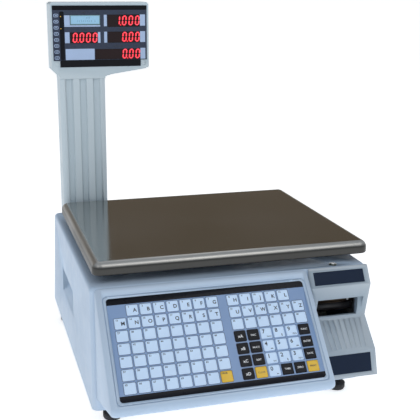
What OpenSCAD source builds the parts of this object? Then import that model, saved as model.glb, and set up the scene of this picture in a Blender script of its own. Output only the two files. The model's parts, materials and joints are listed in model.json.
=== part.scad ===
// Retail price scale with a sloped keyboard, a label printer and a display on a column.
// Frame: origin on the table under the middle of the whole object, +X right, +Y back, +Z up.

/* [Body] */
// Height of the deck above the table
deck_z = 180; // [148:1:220]
// How much further back the rear wall stands at its foot
rear_lean = 52; // [20:1:70]
// Height of the housing's lower edge above the table
foot_h = 18; // [12:1:24]
// Wall of the plastic housings
wall = 3; // [2:0.5:4]
// Radius of the housing's upright corners
corner_r = 9; // [7:1:14]
// Radius of the housing's top edges
edge_r = 5; // [3:1:6]
// Thickness of the steel base tray
tray_t = 2; // [1.5:0.5:3]

/* [Platter] */
// Width of the platter
platter_w = 365; // [300:1:440]
// Depth of the platter
platter_d = 304; // [250:1:370]
// Height of the platter, top face to skirt edge
platter_h = 16; // [12:1:20]
// Sheet thickness of the platter
platter_t = 1.5; // [1:0.25:2]
// Radius of the platter's bullnose edge
platter_edge_r = 8; // [5:1:10]
// Radius of the platter's corners in plan
platter_corner_r = 12; // [11:1:20]
// Air between the platter's skirt and the deck
platter_gap = 12; // [8:1:20]
// How far the platter stands to the right of the body's middle
platter_shift = 6.5; // [0:0.5:10]
// How far the platter's front edge stands behind the deck's front edge
platter_setback = 8; // [4:1:16]

/* [Keyboard] */
// Distance between key columns
key_pitch_x = 16.5; // [13.5:0.1:20]
// Distance between key rows
key_pitch_y = 15.5; // [12.5:0.1:19]
// Gap between two neighbouring keys
key_space = 2.2; // [1.5:0.1:3]
// Extra gap between the left and the right block of keys
key_block_gap = 10; // [5:0.5:15]
// Travel of a key
key_travel = 0.5; // [0.3:0.1:0.7]
// Slope of the keyboard, measured from level
face_tilt = 47.7; // [35:0.1:60]
// Width of the console beside the membrane, each side
console_side = 11.5; // [9:0.5:16]

/* [Printer] */
// Width of the printer bay and its front
printer_w = 82.5; // [78:0.5:100]
// Diameter of the platen roller
platen_d = 14; // [12:0.5:16]
// Diameter of a full label roll
roll_d = 90; // [60:1:110]
// Width of the label roll
roll_w = 58; // [40:1:60]

/* [Column] */
// Width of the column
column_w = 69; // [56:1:85]
// Depth of the column
column_d = 44; // [38:1:54]
// Height of the column between the deck and the display head
column_h = 226; // [180:1:280]
// Number of upright flutes on the column's front
flutes = 3; // [1:1:4]

/* [Display] */
// Width of the display head
head_w = 147.5; // [125:0.5:180]
// Height of the display head
head_h = 100; // [92:1:120]
// Depth of the display head
head_d = 42; // [36:1:52]

/* [Hidden] */
$fn = 48;

plastic = "#c9d2dc";
shell_green = "#a9b5b4";
navy = "#2b3442";
steel = "#8d8a84";
dark = "#1c1d20";
key_white = "#dfe8ef";
key_yellow = "#e8b21c";

eps = 0.02;
loose = 0.4;         // clearance round a loose or moving piece
slip = 0.05;         // radial clearance of a shaft in its bore
seam = 2;            // joint between the console and the printer front

// Keyboard, built up from its keys
left_cols = 8;
right_cols = 6;
key_rows = 7;
key_w = key_pitch_x - key_space;
key_h = key_pitch_y - key_space;
key_rise = 0.8;
side_margin = 5;
top_strip = 8.7;
bottom_strip = 7.6;
membrane_w = (left_cols + right_cols) * key_pitch_x + key_block_gap + 2 * side_margin;
membrane_h = key_rows * key_pitch_y + top_strip + bottom_strip;
membrane_r = 4;
membrane_t = 0.5;
spacer_t = 1;
backplate_t = 1.5;
face_top = 12.6;
face_bottom = 4.5;
face_len = face_top + membrane_h + face_bottom;

// Plan of the body
console_inset = 5.5;
console_w = membrane_w + 2 * console_side;
body_w = console_inset + console_w + seam + printer_w;
hw = body_w / 2;
body_cx = -(platter_shift + platter_w / 2 - hw) / 2;
console_x0 = -hw + console_inset;
console_x1 = console_x0 + console_w;
printer_x0 = console_x1 + seam;
column_gap = 10;
column_overhang = 11;
deck_d = platter_setback + platter_d + column_gap + column_d - column_overhang;
face_step = 3;
lip_r = 9;
console_reach = face_step + face_len * cos(face_tilt) + lip_r * (1 - sin(face_tilt));
overall_d = console_reach + deck_d + rear_lean;
front_y = console_reach - overall_d / 2;
deck_back = front_y + deck_d;
tray_top = foot_h + tray_t;

// Platter and weighing parts
platter_y0 = front_y + platter_setback;
platter_cx = body_cx + platter_shift;
platter_cy = platter_y0 + platter_d / 2;
platter_z0 = deck_z + platter_gap;
platter_z1 = platter_z0 + platter_h;
cell_l = 130;
cell_w = 30;
cell_h = 22;
cell_top = deck_z - 24;
cell_cx = platter_shift;
cell_seat = 32;
hub_x = cell_cx + cell_l / 2 - cell_seat / 2;
fixed_x = cell_cx - cell_l / 2 + cell_seat / 2;
hub_w = 32;
hub_hole = hub_w + 10;
stop_gap = 0.8;
pad_x = 120;
pad_y = 95;
arm_w = 22;
arm_z0 = deck_z + 4;
arm_t = 8;
stud_r = 3;

// Printer
slot_z1 = deck_z - 41;
slot_z0 = deck_z - 67;
slot_x0 = printer_x0 + 11.5;
slot_x1 = hw - 13;
platen_y = front_y + 17.5;
platen_z = slot_z0 + 7;
plate_x = printer_x0 + 3;
plate_t = 2;
cheek_x = hw - 12;
gear_module = 1.25;
gear_w = 4;
platen_teeth = 24;
motor_teeth = 16;
gear_gap = 0.1;
gear_angle = -16.26;
gear_reach = gear_module * (platen_teeth + motor_teeth) / 2 + gear_gap;
motor_y = platen_y + gear_reach * cos(gear_angle);
motor_z = platen_z + gear_reach * sin(gear_angle);
motor_r = 17.5;
motor_l = 24;
shaft_r = 2.5;
roller_x0 = plate_x + plate_t + gear_w + 2.5;
roller_x1 = cheek_x - 0.6;
head_pivot_y = platen_y + 34;
head_pivot_z = platen_z + 19;
head_z = platen_z + platen_d / 2;
bar_y1 = head_pivot_y + 8;
roll_x0 = plate_x + plate_t + 6;
roll_y = front_y + 126;
roll_z = tray_top + roll_d / 2 + 12;
spindle_r = 9;
core_r = 12.5;
takeup_y = front_y + 52;
takeup_z = tray_top + 34;
takeup_r = 24;

// Printer door on the right wall
door_y0 = front_y + 14;
door_y1 = door_y0 + 176;
door_z0 = foot_h + 16;
door_z1 = deck_z - 18;
door_gap = 0.6;
hinge_r = 2.6;
hinge_pin_r = 1.2;
hinge_x = hw + hinge_r + 0.3;
hinge_y = door_y1 + 3.4;

// Column and display head
column_x = -134.7 + hw - 182;
column_y0 = platter_y0 + platter_d + column_gap;
column_r = 7;
column_split = 28;
flute_w = 10.5;
flute_pitch = 20.4;
head_x = column_x + 28;
head_z0 = deck_z + column_h;
neck_h = 12;
column_top = head_z0 - neck_h;
mast_y = column_y0 + 20;
mast_r = 11;
head_z1 = head_z0 + head_h;
head_split = 24;
head_y1 = column_y0 + head_d;
panel_w = head_w - 6;
panel_z0 = head_z0 + 5.5;
panel_z1 = head_z1 - 5;
panel_t = 2;
plug_r = 3.6;
notch = 9.5;

// Rear connector recess
io_x0 = -20;
io_w = 150;
io_z0 = tray_top + 12;
io_h = 46;
io_y = deck_back + 12;
io_t = 3;
inlet_x = io_x0 + 124;
rocker_x = io_x0 + 88;

foot_r = 12;
stud_m = 4;
foot_list = [
    [-hw + 27, front_y + 14], [hw - 27, front_y + 14],
    [-hw + 15, deck_back - 13], [hw - 15, deck_back - 13]
];

function rear_y(z) = deck_back + rear_lean * (deck_z - z) / (deck_z - foot_h);

// ---------- shared shapes ----------

module at_body() translate([body_cx, 0, 0]) children();

module rounded(w, d, r) {
    square([w - 2 * r, d], center = true);
    square([w, d - 2 * r], center = true);
    for (x = [-1, 1], y = [-1, 1]) translate([x * (w / 2 - r), y * (d / 2 - r)]) circle(r);
}

// Extrudes a (y, z) outline along X
module along_x(x0, x1) translate([x0, 0, 0]) rotate([90, 0, 90]) linear_extrude(x1 - x0) children();

module rod_x(x0, x1, r) translate([x0, 0, 0]) rotate([0, 90, 0]) cylinder(r = r, h = x1 - x0);

module rod_y(y0, y1, r) translate([0, y1, 0]) rotate([90, 0, 0]) cylinder(r = r, h = y1 - y0);

module block(p0, p1) translate(p0) cube(p1 - p0);

// Puts a piece on the keyboard slope: local x across, y up the slope, z out of it
module on_slope(x, down)
    translate([x, front_y - face_step - down * cos(face_tilt), deck_z - 1 - down * sin(face_tilt)])
        rotate([face_tilt, 0, 0]) children();

// ---------- body ----------

module plan_slice(z, inset, r)
    translate([0, (front_y + rear_y(z)) / 2, z])
        linear_extrude(eps) rounded(body_w - 2 * inset, rear_y(z) - front_y - 2 * inset, r, $fn = 32);

module housing_outer() hull() {
    plan_slice(foot_h, 0, corner_r);
    for (a = [0 : 30 : 90]) {
        inset = edge_r * (1 - cos(a));
        plan_slice(deck_z - edge_r + edge_r * sin(a) - eps, inset, corner_r - inset);
    }
}

module housing_inner() hull() {
    plan_slice(foot_h - 1, wall, corner_r - wall);
    plan_slice(deck_z - wall - eps, wall, corner_r - wall);
}

grip_left_y = front_y + 155;
grip_right_y = door_y1 + 15;
grip_l = 112;
grip_z1 = deck_z - 61;
grip_h = 38;
grip_depth = 22;

// Scooped hand grip: a full-depth upper edge that fades out at its lower edge
module grip_scoop(start, extra, reach)
    translate([0, start - extra, 0]) rotate([90, 0, 0]) mirror([0, 0, 1]) linear_extrude(grip_l + 2 * extra)
        polygon([
            [reach, grip_z1 + extra], [-grip_depth - extra, grip_z1 + extra],
            [-grip_depth - extra, grip_z1 - 16], [-wall * (extra > 0 ? 1 : 0), grip_z1 - grip_h - extra],
            [reach, grip_z1 - grip_h - extra]
        ]);

module io_window(extra) block(
    [io_x0 - extra, io_y - extra, io_z0 - extra],
    [io_x0 + io_w + extra, deck_back + rear_lean + 5, io_z0 + io_h + extra]);

module screw_bosses() for (p = boss_list) translate([p[0], p[1], tray_top]) difference() {
    cylinder(r = 4.5, h = 12);
    translate([0, 0, -1]) cylinder(r = 1.6, h = 11);
}
boss_y = [front_y + 44, front_y + deck_d / 2, deck_back - 60];
boss_list = [for (x = [-1, 1], y = boss_y) [x * (hw - wall - 4), y]];

module mast_hole() translate([column_x, mast_y, deck_z - wall - 1]) cylinder(r = mast_r + 1, h = wall + 2);

module housing() at_body() color(plastic) {
    difference() {
        union() {
            difference() {
                housing_outer();
                housing_inner();
            }
            intersection() {
                housing_outer();
                union() {
                    translate([-hw, 0, 0]) mirror([1, 0, 0]) grip_scoop(grip_left_y, wall, -0.01);
                    translate([hw, 0, 0]) grip_scoop(grip_right_y, wall, -0.01);
                    io_window(io_t);
                }
            }
            screw_bosses();
        }
        translate([-hw, 0, 0]) mirror([1, 0, 0]) grip_scoop(grip_left_y, 0, 1);
        translate([hw, 0, 0]) grip_scoop(grip_right_y, 0, 1);
        io_window(0);
        // load cell hub
        translate([hub_x, platter_cy, deck_z - wall - 1]) linear_extrude(wall + 2)
            rounded(hub_hole, hub_hole, 6);
        // cable window to the console
        block([-100, front_y - 1, deck_z - 80], [40, front_y + wall + 1, deck_z - 50]);
        // label exit
        block([plate_x, front_y - 1, slot_z0 - 4], [slot_x1 + 1, front_y + wall + 1, slot_z1 + 4]);
        // printer door
        block([hw - wall - 1, door_y0, door_z0], [hw + 1, door_y1, door_z1]);
        mast_hole();
        translate([level_x, platter_y0 + 1, deck_z - 2.5]) cylinder(r = 5.3, h = 3);
        // connector openings
        translate([inlet_x, io_y, io_z0 + io_h / 2]) block([-14, -io_t - 1, -11.5], [14, 1, 11.5]);
        translate([rocker_x, io_y, io_z0 + io_h / 2]) block([-7, -io_t - 1, -11], [7, 1, 11]);
        for (x = port_list) translate([io_x0 + x, io_y, io_z0 + 18])
            block([-port_w / 2, -io_t - 1, -7.5], [port_w / 2, 1, 7.5]);
    }
    // fixed knuckles of the door hinge
    for (z = hinge_fixed) translate([0, 0, z]) hinge_knuckle(1);
}

port_w = 17;
port_list = [14, 38, 62];
level_x = hw - 44;

// Door hinge: two fixed and one moving knuckle on a pin
knuckle_h = 16;
hinge_fixed = [door_z0 + 16, door_z1 - 16 - knuckle_h];
hinge_moving = [door_z0 + 16 + knuckle_h + 0.5, door_z1 - 16 - 2 * knuckle_h - 0.5];

module hinge_knuckle(side) difference() {
    union() {
        translate([hinge_x, hinge_y, 0]) cylinder(r = hinge_r, h = knuckle_h);
        if (side > 0) block([hw - 1, hinge_y, 0], [hinge_x, hinge_y + hinge_r, knuckle_h]);
        if (side < 0) {
            block([hw - 1.2, door_y1 - 6, 0], [hinge_x + 0.7, door_y1 - door_gap, knuckle_h]);
            block([hw + 0.3, door_y1 - 2, 0], [hinge_x + 0.7, hinge_y, knuckle_h]);
        }
    }
    translate([hinge_x, hinge_y, -1]) cylinder(r = hinge_pin_r + slip, h = knuckle_h + 2);
}

module printer_door() at_body() color(plastic) {
    difference() {
        union() {
            block([hw - wall, door_y0 + door_gap, door_z0 + door_gap],
                [hw, door_y1 - door_gap, door_z1 - door_gap]);
            // stiffening rim on the inside
            block([hw - wall - 5, door_y0 + 6, door_z0 + 5], [hw - wall, door_y0 + 8, door_z1 - 5]);
            block([hw - wall - 5, door_y0 + 6, door_z0 + 5], [hw - wall, door_y1 - 10, door_z0 + 7]);
            block([hw - wall - 5, door_y0 + 6, door_z1 - 7], [hw - wall, door_y1 - 10, door_z1 - 5]);
        }
        // finger scoop at the free edge
        translate([hw + 3, door_y0 + 12, (door_z0 + door_z1) / 2 - 13]) cylinder(r = 5, h = 26);
    }
    for (z = hinge_moving) translate([0, 0, z]) hinge_knuckle(-1);
}

module door_hinge_pin() at_body() color(steel) translate([hinge_x, hinge_y, 0]) {
    pin_top = hinge_fixed[1] + knuckle_h;
    translate([0, 0, hinge_fixed[0] - 1]) cylinder(r = hinge_pin_r, h = pin_top + 2 - hinge_fixed[0]);
    translate([0, 0, pin_top]) cylinder(r = hinge_r - 0.3, h = 1.4);
    translate([0, 0, hinge_fixed[0] - 1.4]) cylinder(r = hinge_r - 0.3, h = 1.4);
}

tray_back = rear_y(tray_top + 12) - wall - 0.6;
tray_side = hw - wall - loose;
tray_front = front_y + wall + loose;
module base_tray() at_body() color("#8f979d") {
    difference() {
        union() {
            translate([0, (tray_front + tray_back) / 2, foot_h]) linear_extrude(tray_t)
                rounded(2 * tray_side, tray_back - tray_front, corner_r);
            // upturned edges
            for (x = [-tray_side, tray_side - 1.5])
                block([x, front_y + 70, tray_top], [x + 1.5, front_y + 130, tray_top + 10]);
            block([-hw + 30, tray_back - 1.5, tray_top], [hw - 30, tray_back, tray_top + 8]);
            for (p = foot_list) translate([p[0], p[1], tray_top]) cylinder(r = 8, h = 10);
        }
        for (p = foot_list) translate([p[0], p[1], foot_h - 1]) cylinder(r = stud_m + slip, h = 20);
        for (p = boss_list) translate([p[0], p[1], foot_h - 1]) cylinder(r = 1.9, h = 10);
        for (i = [0 : 7]) translate([-150 + i * 9, platter_cy + 76, foot_h - 1]) cube([4, 50, tray_t + 2]);
    }
}

// ---------- console and keyboard ----------

console_r = 7;
console_mid = (console_x0 + console_x1) / 2;
ledge_t = 3;
lip_y = front_y - console_reach + lip_r;
lip_z = deck_z - 1 - face_len * sin(face_tilt) - lip_r * cos(face_tilt);
console_back = front_y + 20;
console_foot = foot_h + 8;

// Side outline (y, z): level top, keyboard slope, round lip, underside
function console_outline(inset, face_inset) = let (
    lean = atan2(console_foot - lip_z, console_back - lip_y) - 90,
    top = deck_z - 1 - inset) concat(
    [[console_back, top], [face_y(top, face_inset), top]],
    [for (i = [0 : 7])
        let (a = 90 + face_tilt + i * (270 + lean - face_tilt) / 7, r = lip_r - (i == 0 ? face_inset : inset))
        [lip_y + r * cos(a), lip_z + r * sin(a)]],
    [[console_back, console_foot + inset]]);

// Where the keyboard slope, moved inwards, passes the height z
function face_y(z, face_inset) =
    front_y - face_step + face_inset / sin(face_tilt) - (deck_z - 1 - z) / tan(face_tilt);

module console_hull(inset, face_inset) hull() for (a = [0 : 30 : 90], s = [0, 1]) {
    pull = console_r * (1 - sin(a)) * 0.6;
    x = inset + console_r * (1 - cos(a));
    along_x(s == 0 ? console_x0 + x : console_x1 - x - 0.1, s == 0 ? console_x0 + x + 0.1 : console_x1 - x)
        polygon(console_outline(inset + pull, face_inset + pull));
}

module console_shell() at_body() color(plastic) difference() {
    intersection() {
        console_hull(0, 0);
        block([-hw, front_y - 300, 0], [hw, front_y, deck_z + 10]);
    }
    intersection() {
        console_hull(wall, wall + ledge_t);
        block([-hw, front_y - 300, 0], [hw, front_y + 30, deck_z + 10]);
    }
    on_slope(console_mid, face_top + membrane_h / 2) {
        translate([0, 0, -membrane_t - spacer_t - backplate_t]) linear_extrude(10)
            rounded(membrane_w + loose, membrane_h + loose, membrane_r);
        translate([0, 0, -20]) linear_extrude(30) rounded(membrane_w - 10, membrane_h - 10, membrane_r);
        // groove round the membrane
        translate([0, 0, -1]) linear_extrude(4) difference() {
            rounded(membrane_w + 8.4, membrane_h + 7.4, 6);
            rounded(membrane_w + 7, membrane_h + 6, 5.3);
        }
    }
}

module keyboard_backplate() at_body() on_slope(console_mid, face_top + membrane_h / 2)
    color("#6d7a70") translate([0, 0, -membrane_t - spacer_t - backplate_t]) linear_extrude(backplate_t)
        rounded(membrane_w, membrane_h, membrane_r);

// Centre of a key; columns 0 to 7 are the left block, 8 to 13 the right one
function key_x(col) =
    -membrane_w / 2 + side_margin + key_pitch_x * (col + 0.5) + (col >= left_cols ? key_block_gap : 0);
function key_y(row) = membrane_h / 2 - top_strip - key_pitch_y * (row + 0.5);

// The digit pad and the keys right of it, four rows of four
moving_keys = [for (row = [3 : 6], col = [10 : 13]) [col, row]];
function is_moving(col, row) = col >= 10 && row >= 3;
preset_list = [for (row = [0 : 6], col = [0 : 13])
    if (!is_moving(col, row) && !(row == 0 && (col == 0 || col == 13))) [col, row]];

module membrane_overlay() at_body() on_slope(console_mid, face_top + membrane_h / 2) color("#8b9bb5")
    difference() {
        translate([0, 0, -membrane_t - spacer_t]) linear_extrude(membrane_t + spacer_t)
            rounded(membrane_w, membrane_h, membrane_r);
        for (k = moving_keys) translate([key_x(k[0]), key_y(k[1]), -5]) linear_extrude(10)
            square([key_w + loose, key_h + loose], center = true);
    }

module preset_keys() at_body() on_slope(console_mid, face_top + membrane_h / 2) color(key_white)
    for (k = preset_list) translate([key_x(k[0]), key_y(k[1]), 0]) linear_extrude(key_rise)
        square([key_w, key_h], center = true);

function key_colour(i) = i == 15 ? key_yellow : (i % 4 == 3 || i == 13 || i == 14) ? dark : key_white;
key_foot = -membrane_t - spacer_t + key_travel + 0.1;
module key(i) color(key_colour(i)) at_body() on_slope(console_mid, face_top + membrane_h / 2)
    translate([key_x(moving_keys[i][0]), key_y(moving_keys[i][1]), key_foot])
        linear_extrude(key_rise - key_foot) square([key_w, key_h], center = true);

// ---------- printer ----------

fascia_points = [
    [front_y, deck_z], [front_y - 2, deck_z - 2], [front_y - 14, deck_z - 22], [front_y - 3.5, deck_z - 69],
    [front_y - 37, deck_z - 103], [front_y - 47, deck_z - 135], [front_y, deck_z - 144]
];
fascia_hollow = [
    [front_y + 1, deck_z - 74], [front_y - 4, deck_z - 74], [front_y - 34, deck_z - 104],
    [front_y - 43.5, deck_z - 132.5], [front_y + 1, deck_z - 140.5]
];

module on_fascia(i, x, along) {
    p = fascia_points[i];
    q = fascia_points[i + 1];
    d = q - p;
    translate([x, p[0] + d[0] * along / norm(d), p[1] + d[1] * along / norm(d)])
        rotate([90 - atan2(-d[0], -d[1]), 0, 0]) children();
}

module printer_fascia() at_body() color(shell_green) {
    difference() {
        along_x(printer_x0, hw) polygon(fascia_points);
        along_x(printer_x0 + wall, hw - wall) polygon(fascia_hollow);
        block([slot_x0, front_y - 30, slot_z0], [slot_x1, front_y + 1, slot_z1]);
        block([slot_x1 - 1, front_y - 30, slot_z0], [slot_x1 + 6, front_y - 6, slot_z1]);
        for (p = label_spots) on_fascia(p[0], label_x, p[1])
            translate([0, 0, -0.6]) linear_extrude(4) square([label_w + 0.2, p[2] + 0.2], center = true);
    }
    // ribs that guide the label down the slope
    for (i = [0 : 7]) on_fascia(3, printer_x0 + 22 + i * 7.2, 24)
        rotate([0, 0, (i - 3.5) * -0.9]) translate([-0.6, -20, -0.3]) cube([1.2, 40, 1.1]);
    // fills the housing's rounded corner beside the fascia
    translate([hw - corner_r, front_y + corner_r, fascia_points[6][1] + 1])
        linear_extrude(deck_z - fascia_points[6][1] - 3) difference() {
            translate([0, -corner_r - 1]) square([corner_r, corner_r - 1]);
            circle(corner_r + 0.1);
        }
}
label_x = (printer_x0 + hw) / 2 - 1;
label_w = printer_w - 13;
// Dark panels: side of the outline, place along it, height
label_spots = [[1, 11.5, 17], [4, 16, 24]];

module printer_label_panels() at_body() color(navy) for (p = label_spots) on_fascia(p[0], label_x, p[1])
    translate([0, 0, -0.6]) linear_extrude(0.8) square([label_w, p[2]], center = true);

module bearing_hole(x, y, z, r) translate([x - 1, y, z]) rod_x(0, 8, r);

module printer_chassis() at_body() color("#9aa0a4") {
    difference() {
        union() {
            block([plate_x, front_y + wall + 1, tray_top], [plate_x + plate_t, roll_y + 56, deck_z - 22]);
            block([plate_x - 18, front_y + 60, tray_top], [plate_x, roll_y + 50, tray_top + 2]);
            translate([0, head_pivot_y, head_pivot_z]) rod_x(plate_x + plate_t, plate_x + plate_t + 2, 5);
            translate([0, roll_y, roll_z]) rod_x(plate_x + plate_t, roll_x0 - 1, 14);
            translate([0, roll_y, roll_z]) rod_x(plate_x, roll_x0 + roll_w + 3, spindle_r - slip);
            translate([0, takeup_y, takeup_z]) rod_x(plate_x, roll_x0 + roll_w + 3, 5 - slip);
            // right cheek and the two bars that carry it
            block([cheek_x, front_y + wall + 1, platen_z - 15], [cheek_x + plate_t, bar_y1, deck_z - 24]);
            block([plate_x + plate_t, head_pivot_y + 2, platen_z - 15], [cheek_x, bar_y1, platen_z - 11]);
            block([plate_x + plate_t, head_pivot_y - 2, deck_z - 28], [cheek_x, bar_y1, deck_z - 24]);
        }
        bearing_hole(plate_x, platen_y, platen_z, shaft_r + slip);
        bearing_hole(cheek_x, platen_y, platen_z, shaft_r + slip);
        bearing_hole(plate_x, motor_y, motor_z, 3.2);
        bearing_hole(plate_x, head_pivot_y, head_pivot_z, 2 + slip);
        bearing_hole(cheek_x, head_pivot_y, head_pivot_z, 2 + slip);
    }
}

module print_head() at_body() {
    color("#5b4636") block([roller_x0, platen_y - 10, head_z + 0.4], [roller_x1, platen_y + 12, head_z + 7]);
    color("#777") {
        for (x = [roller_x0, roller_x1 - 2])
            block([x, platen_y + 12, head_z + 2], [x + 2, head_pivot_y + 4, head_pivot_z + 4]);
        translate([0, head_pivot_y, head_pivot_z]) rod_x(roller_x0 + 2, roller_x1 - 2, 2.5);
        translate([0, head_pivot_y, head_pivot_z]) rod_x(plate_x + 0.2, cheek_x + plate_t - 0.2, 2);
        for (x = [roller_x1 - 8, roller_x0 + 6])
            translate([x, platen_y - 10, head_z + 3.6]) rod_y(-1.2, 0, 1.6);
    }
}

module platen_roller() at_body() translate([0, platen_y, platen_z]) {
    color(dark) rod_x(roller_x0, roller_x1 - 0.6, platen_d / 2);
    color(steel) rod_x(plate_x - 3, cheek_x + plate_t + 2, shaft_r);
}

// Involute spur gear across X; phase turns a tooth to the given angle in the (y, z) plane
function inv(a) = tan(a) * 180 / PI - a;
module gear(teeth, phase, bore) {
    rp = gear_module * teeth / 2;
    rb = rp * cos(20);
    ra = rp + 0.9 * gear_module;
    rf = rp - 1.2 * gear_module;
    half = 90 / teeth * 0.9;
    radii = [max(rb, rf), (max(rb, rf) + rp) / 2, rp, (rp + ra) / 2, ra];
    flank = [for (r = radii) [r, half + inv(20) - inv(acos(rb / r))]];
    along_x(0, gear_w) difference() {
        polygon([for (t = [0 : teeth - 1]) let (c = phase + 360 * t / teeth) each concat(
            [[rf * cos(c - flank[0][1] - 0.8), rf * sin(c - flank[0][1] - 0.8)]],
            [for (f = flank) [f[0] * cos(c - f[1]), f[0] * sin(c - f[1])]],
            [for (i = [4 : -1 : 0]) [flank[i][0] * cos(c + flank[i][1]), flank[i][0] * sin(c + flank[i][1])]],
            [[rf * cos(c + flank[0][1] + 0.8), rf * sin(c + flank[0][1] + 0.8)]])]);
        circle(bore);
    }
}

module platen_gear() at_body() translate([plate_x + plate_t + 1, platen_y, platen_z]) color("#e9e6da")
    gear(platen_teeth, gear_angle, shaft_r);

// Pinion with the motor's shaft
module motor_pinion() at_body() translate([0, motor_y, motor_z]) color("#c9a94d") {
    translate([plate_x + plate_t + 1, 0, 0]) gear(motor_teeth, gear_angle + 180 + 180 / motor_teeth, 1);
    rod_x(plate_x - 11.5, plate_x + plate_t + 1.5 + gear_w, 1.5);
}

module feed_motor() at_body() translate([0, motor_y, motor_z]) color("#6b6e72") {
    difference() {
        union() {
            rod_x(plate_x - motor_l, plate_x, motor_r);
            rod_x(plate_x - 1.5, plate_x + plate_t - 0.4, 3);
            along_x(plate_x - 2, plate_x) rounded(46, 12, 4);
        }
        rod_x(plate_x - 12, plate_x + 5, 1.5 + slip);
    }
}

module label_roll() at_body() translate([0, roll_y, roll_z]) {
    color("#f2efe6") difference() {
        rod_x(roll_x0, roll_x0 + roll_w, roll_d / 2);
        rod_x(roll_x0 - 1, roll_x0 + roll_w + 1, core_r);
    }
    color("#a0805a") difference() {
        rod_x(roll_x0, roll_x0 + roll_w, core_r);
        rod_x(roll_x0 - 1, roll_x0 + roll_w + 1, spindle_r + slip / 2);
    }
}

module takeup_spool() at_body() translate([0, takeup_y, takeup_z]) color("#3a3d42") difference() {
    union() {
        rod_x(roll_x0, roll_x0 + 2, takeup_r);
        rod_x(roll_x0, roll_x0 + roll_w, 9);
        rod_x(roll_x0 + 2, roll_x0 + roll_w - 3, 17);
    }
    rod_x(roll_x0 - 1, roll_x0 + roll_w + 1, 5 + slip / 2);
}

// ---------- weighing parts ----------

module load_cell_pedestal() at_body() color("#a8adb0") {
    cell_z0 = cell_top - cell_h;
    seat_x0 = fixed_x - cell_seat / 2;
    seat_x1 = fixed_x + cell_seat / 2;
    block([cell_cx - 70, platter_cy - 40, tray_top], [cell_cx + 70, platter_cy + 40, tray_top + 4]);
    difference() {
        block([seat_x0, platter_cy - 22, tray_top + 4], [seat_x1, platter_cy + 22, cell_z0 - 3]);
        block([seat_x0 + 4, platter_cy - 30, tray_top + 10], [seat_x1 - 4, platter_cy + 30, cell_z0 - 12]);
    }
    block([seat_x0, platter_cy - cell_w / 2, cell_z0 - 3], [seat_x1, platter_cy + cell_w / 2, cell_z0]);
    // post of the overload stop, under the free end
    block([hub_x - 8, platter_cy - 10, tray_top + 4], [hub_x + 8, platter_cy + 10, cell_z0 - 14]);
    translate([hub_x, platter_cy, cell_z0 - 14]) cylinder(r = 6, h = 8);
    translate([hub_x, platter_cy, cell_z0 - 6]) cylinder(r = 4, h = 6 - stop_gap);
    for (y = [platter_cy - 10, platter_cy + 6]) along_y(y, y + 4) translate([seat_x1, tray_top + 4])
        polygon([[0, 0], [34, 0], [0, 60]]);
}

module load_cell() at_body() color("#c4c8cb") translate([0, 0, cell_top - cell_h]) difference() {
    translate([cell_cx - cell_l / 2, platter_cy - cell_w / 2, 0]) cube([cell_l, cell_w, cell_h]);
    // binocular hole that lets the beam bend
    for (x = [-14, 14]) translate([cell_cx + x, platter_cy, cell_h / 2]) rod_y(-20, 20, 8);
    translate([cell_cx - 14, platter_cy - 20, cell_h / 2 - 4]) cube([28, 40, 8]);
    for (s = [-1, 1]) {
        translate([fixed_x, platter_cy + s * 9, -1]) cylinder(r = 3.2, h = cell_h + 2);
        translate([hub_x, platter_cy + s * 9, -1]) cylinder(r = 3.2, h = cell_h + 2);
    }
}

module load_cell_bolts() at_body() color(dark) for (s = [-1, 1]) {
    translate([fixed_x, platter_cy + s * 9, cell_top - cell_h]) cylinder(r = 3, h = cell_h);
    translate([fixed_x, platter_cy + s * 9, cell_top]) difference() {
        cylinder(r = 5, h = 6);
        translate([0, 0, 3]) cylinder(r = 2.5, h = 4, $fn = 6);
    }
}

pad_list = [for (sx = [-1, 1], sy = [-1, 1]) [sx * pad_x, sy * pad_y]];

// Plan of the spider's plate: hub, round middle, four arms with pads
module spider_plan() difference() {
    union() {
        circle(42);
        translate([0, -cell_w / 2]) square([hub_x - cell_cx + hub_w / 2, cell_w]);
        for (p = pad_list) {
            translate(p) circle(15);
            rotate(atan2(p[1], p[0])) translate([0, -arm_w / 2]) square([norm(p), arm_w]);
        }
    }
    translate([-6, 0]) circle(18);
    for (p = pad_list) translate(p) circle(stud_r);
}

module platter_spider() at_body() color("#b9bdbf") {
    translate([cell_cx, platter_cy, arm_z0]) linear_extrude(arm_t) spider_plan();
    translate([hub_x, platter_cy, cell_top]) linear_extrude(arm_z0 - cell_top) difference() {
        square([hub_w, cell_w], center = true);
        for (s = [-1, 1]) translate([0, s * 9]) circle(2.9);
    }
}

module platter_buffers() at_body() color(dark) for (p = pad_list)
    translate([cell_cx + p[0], platter_cy + p[1], arm_z0]) {
        cylinder(r = stud_r, h = arm_t);
        translate([0, 0, arm_t]) cylinder(r = 10, h = platter_z1 - platter_t - arm_z0 - arm_t);
    }

// Quarter ring that rounds the platter's rim
module rim_arc() translate([platter_corner_r - platter_edge_r, platter_z1 - platter_edge_r]) intersection() {
    difference() {
        circle(platter_edge_r);
        circle(platter_edge_r - platter_t);
    }
    square(platter_edge_r);
}

// Section through the platter's rim: top sheet, bullnose, skirt and the hem turned in below
module platter_section() {
    r = platter_corner_r;
    rim_arc();
    translate([0, platter_z1 - platter_t]) square([r - platter_edge_r, platter_t]);
    translate([r - platter_t, platter_z0]) square([platter_t, platter_h - platter_edge_r]);
    translate([r - 5, platter_z0]) square([5, 1.2]);
}

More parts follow.
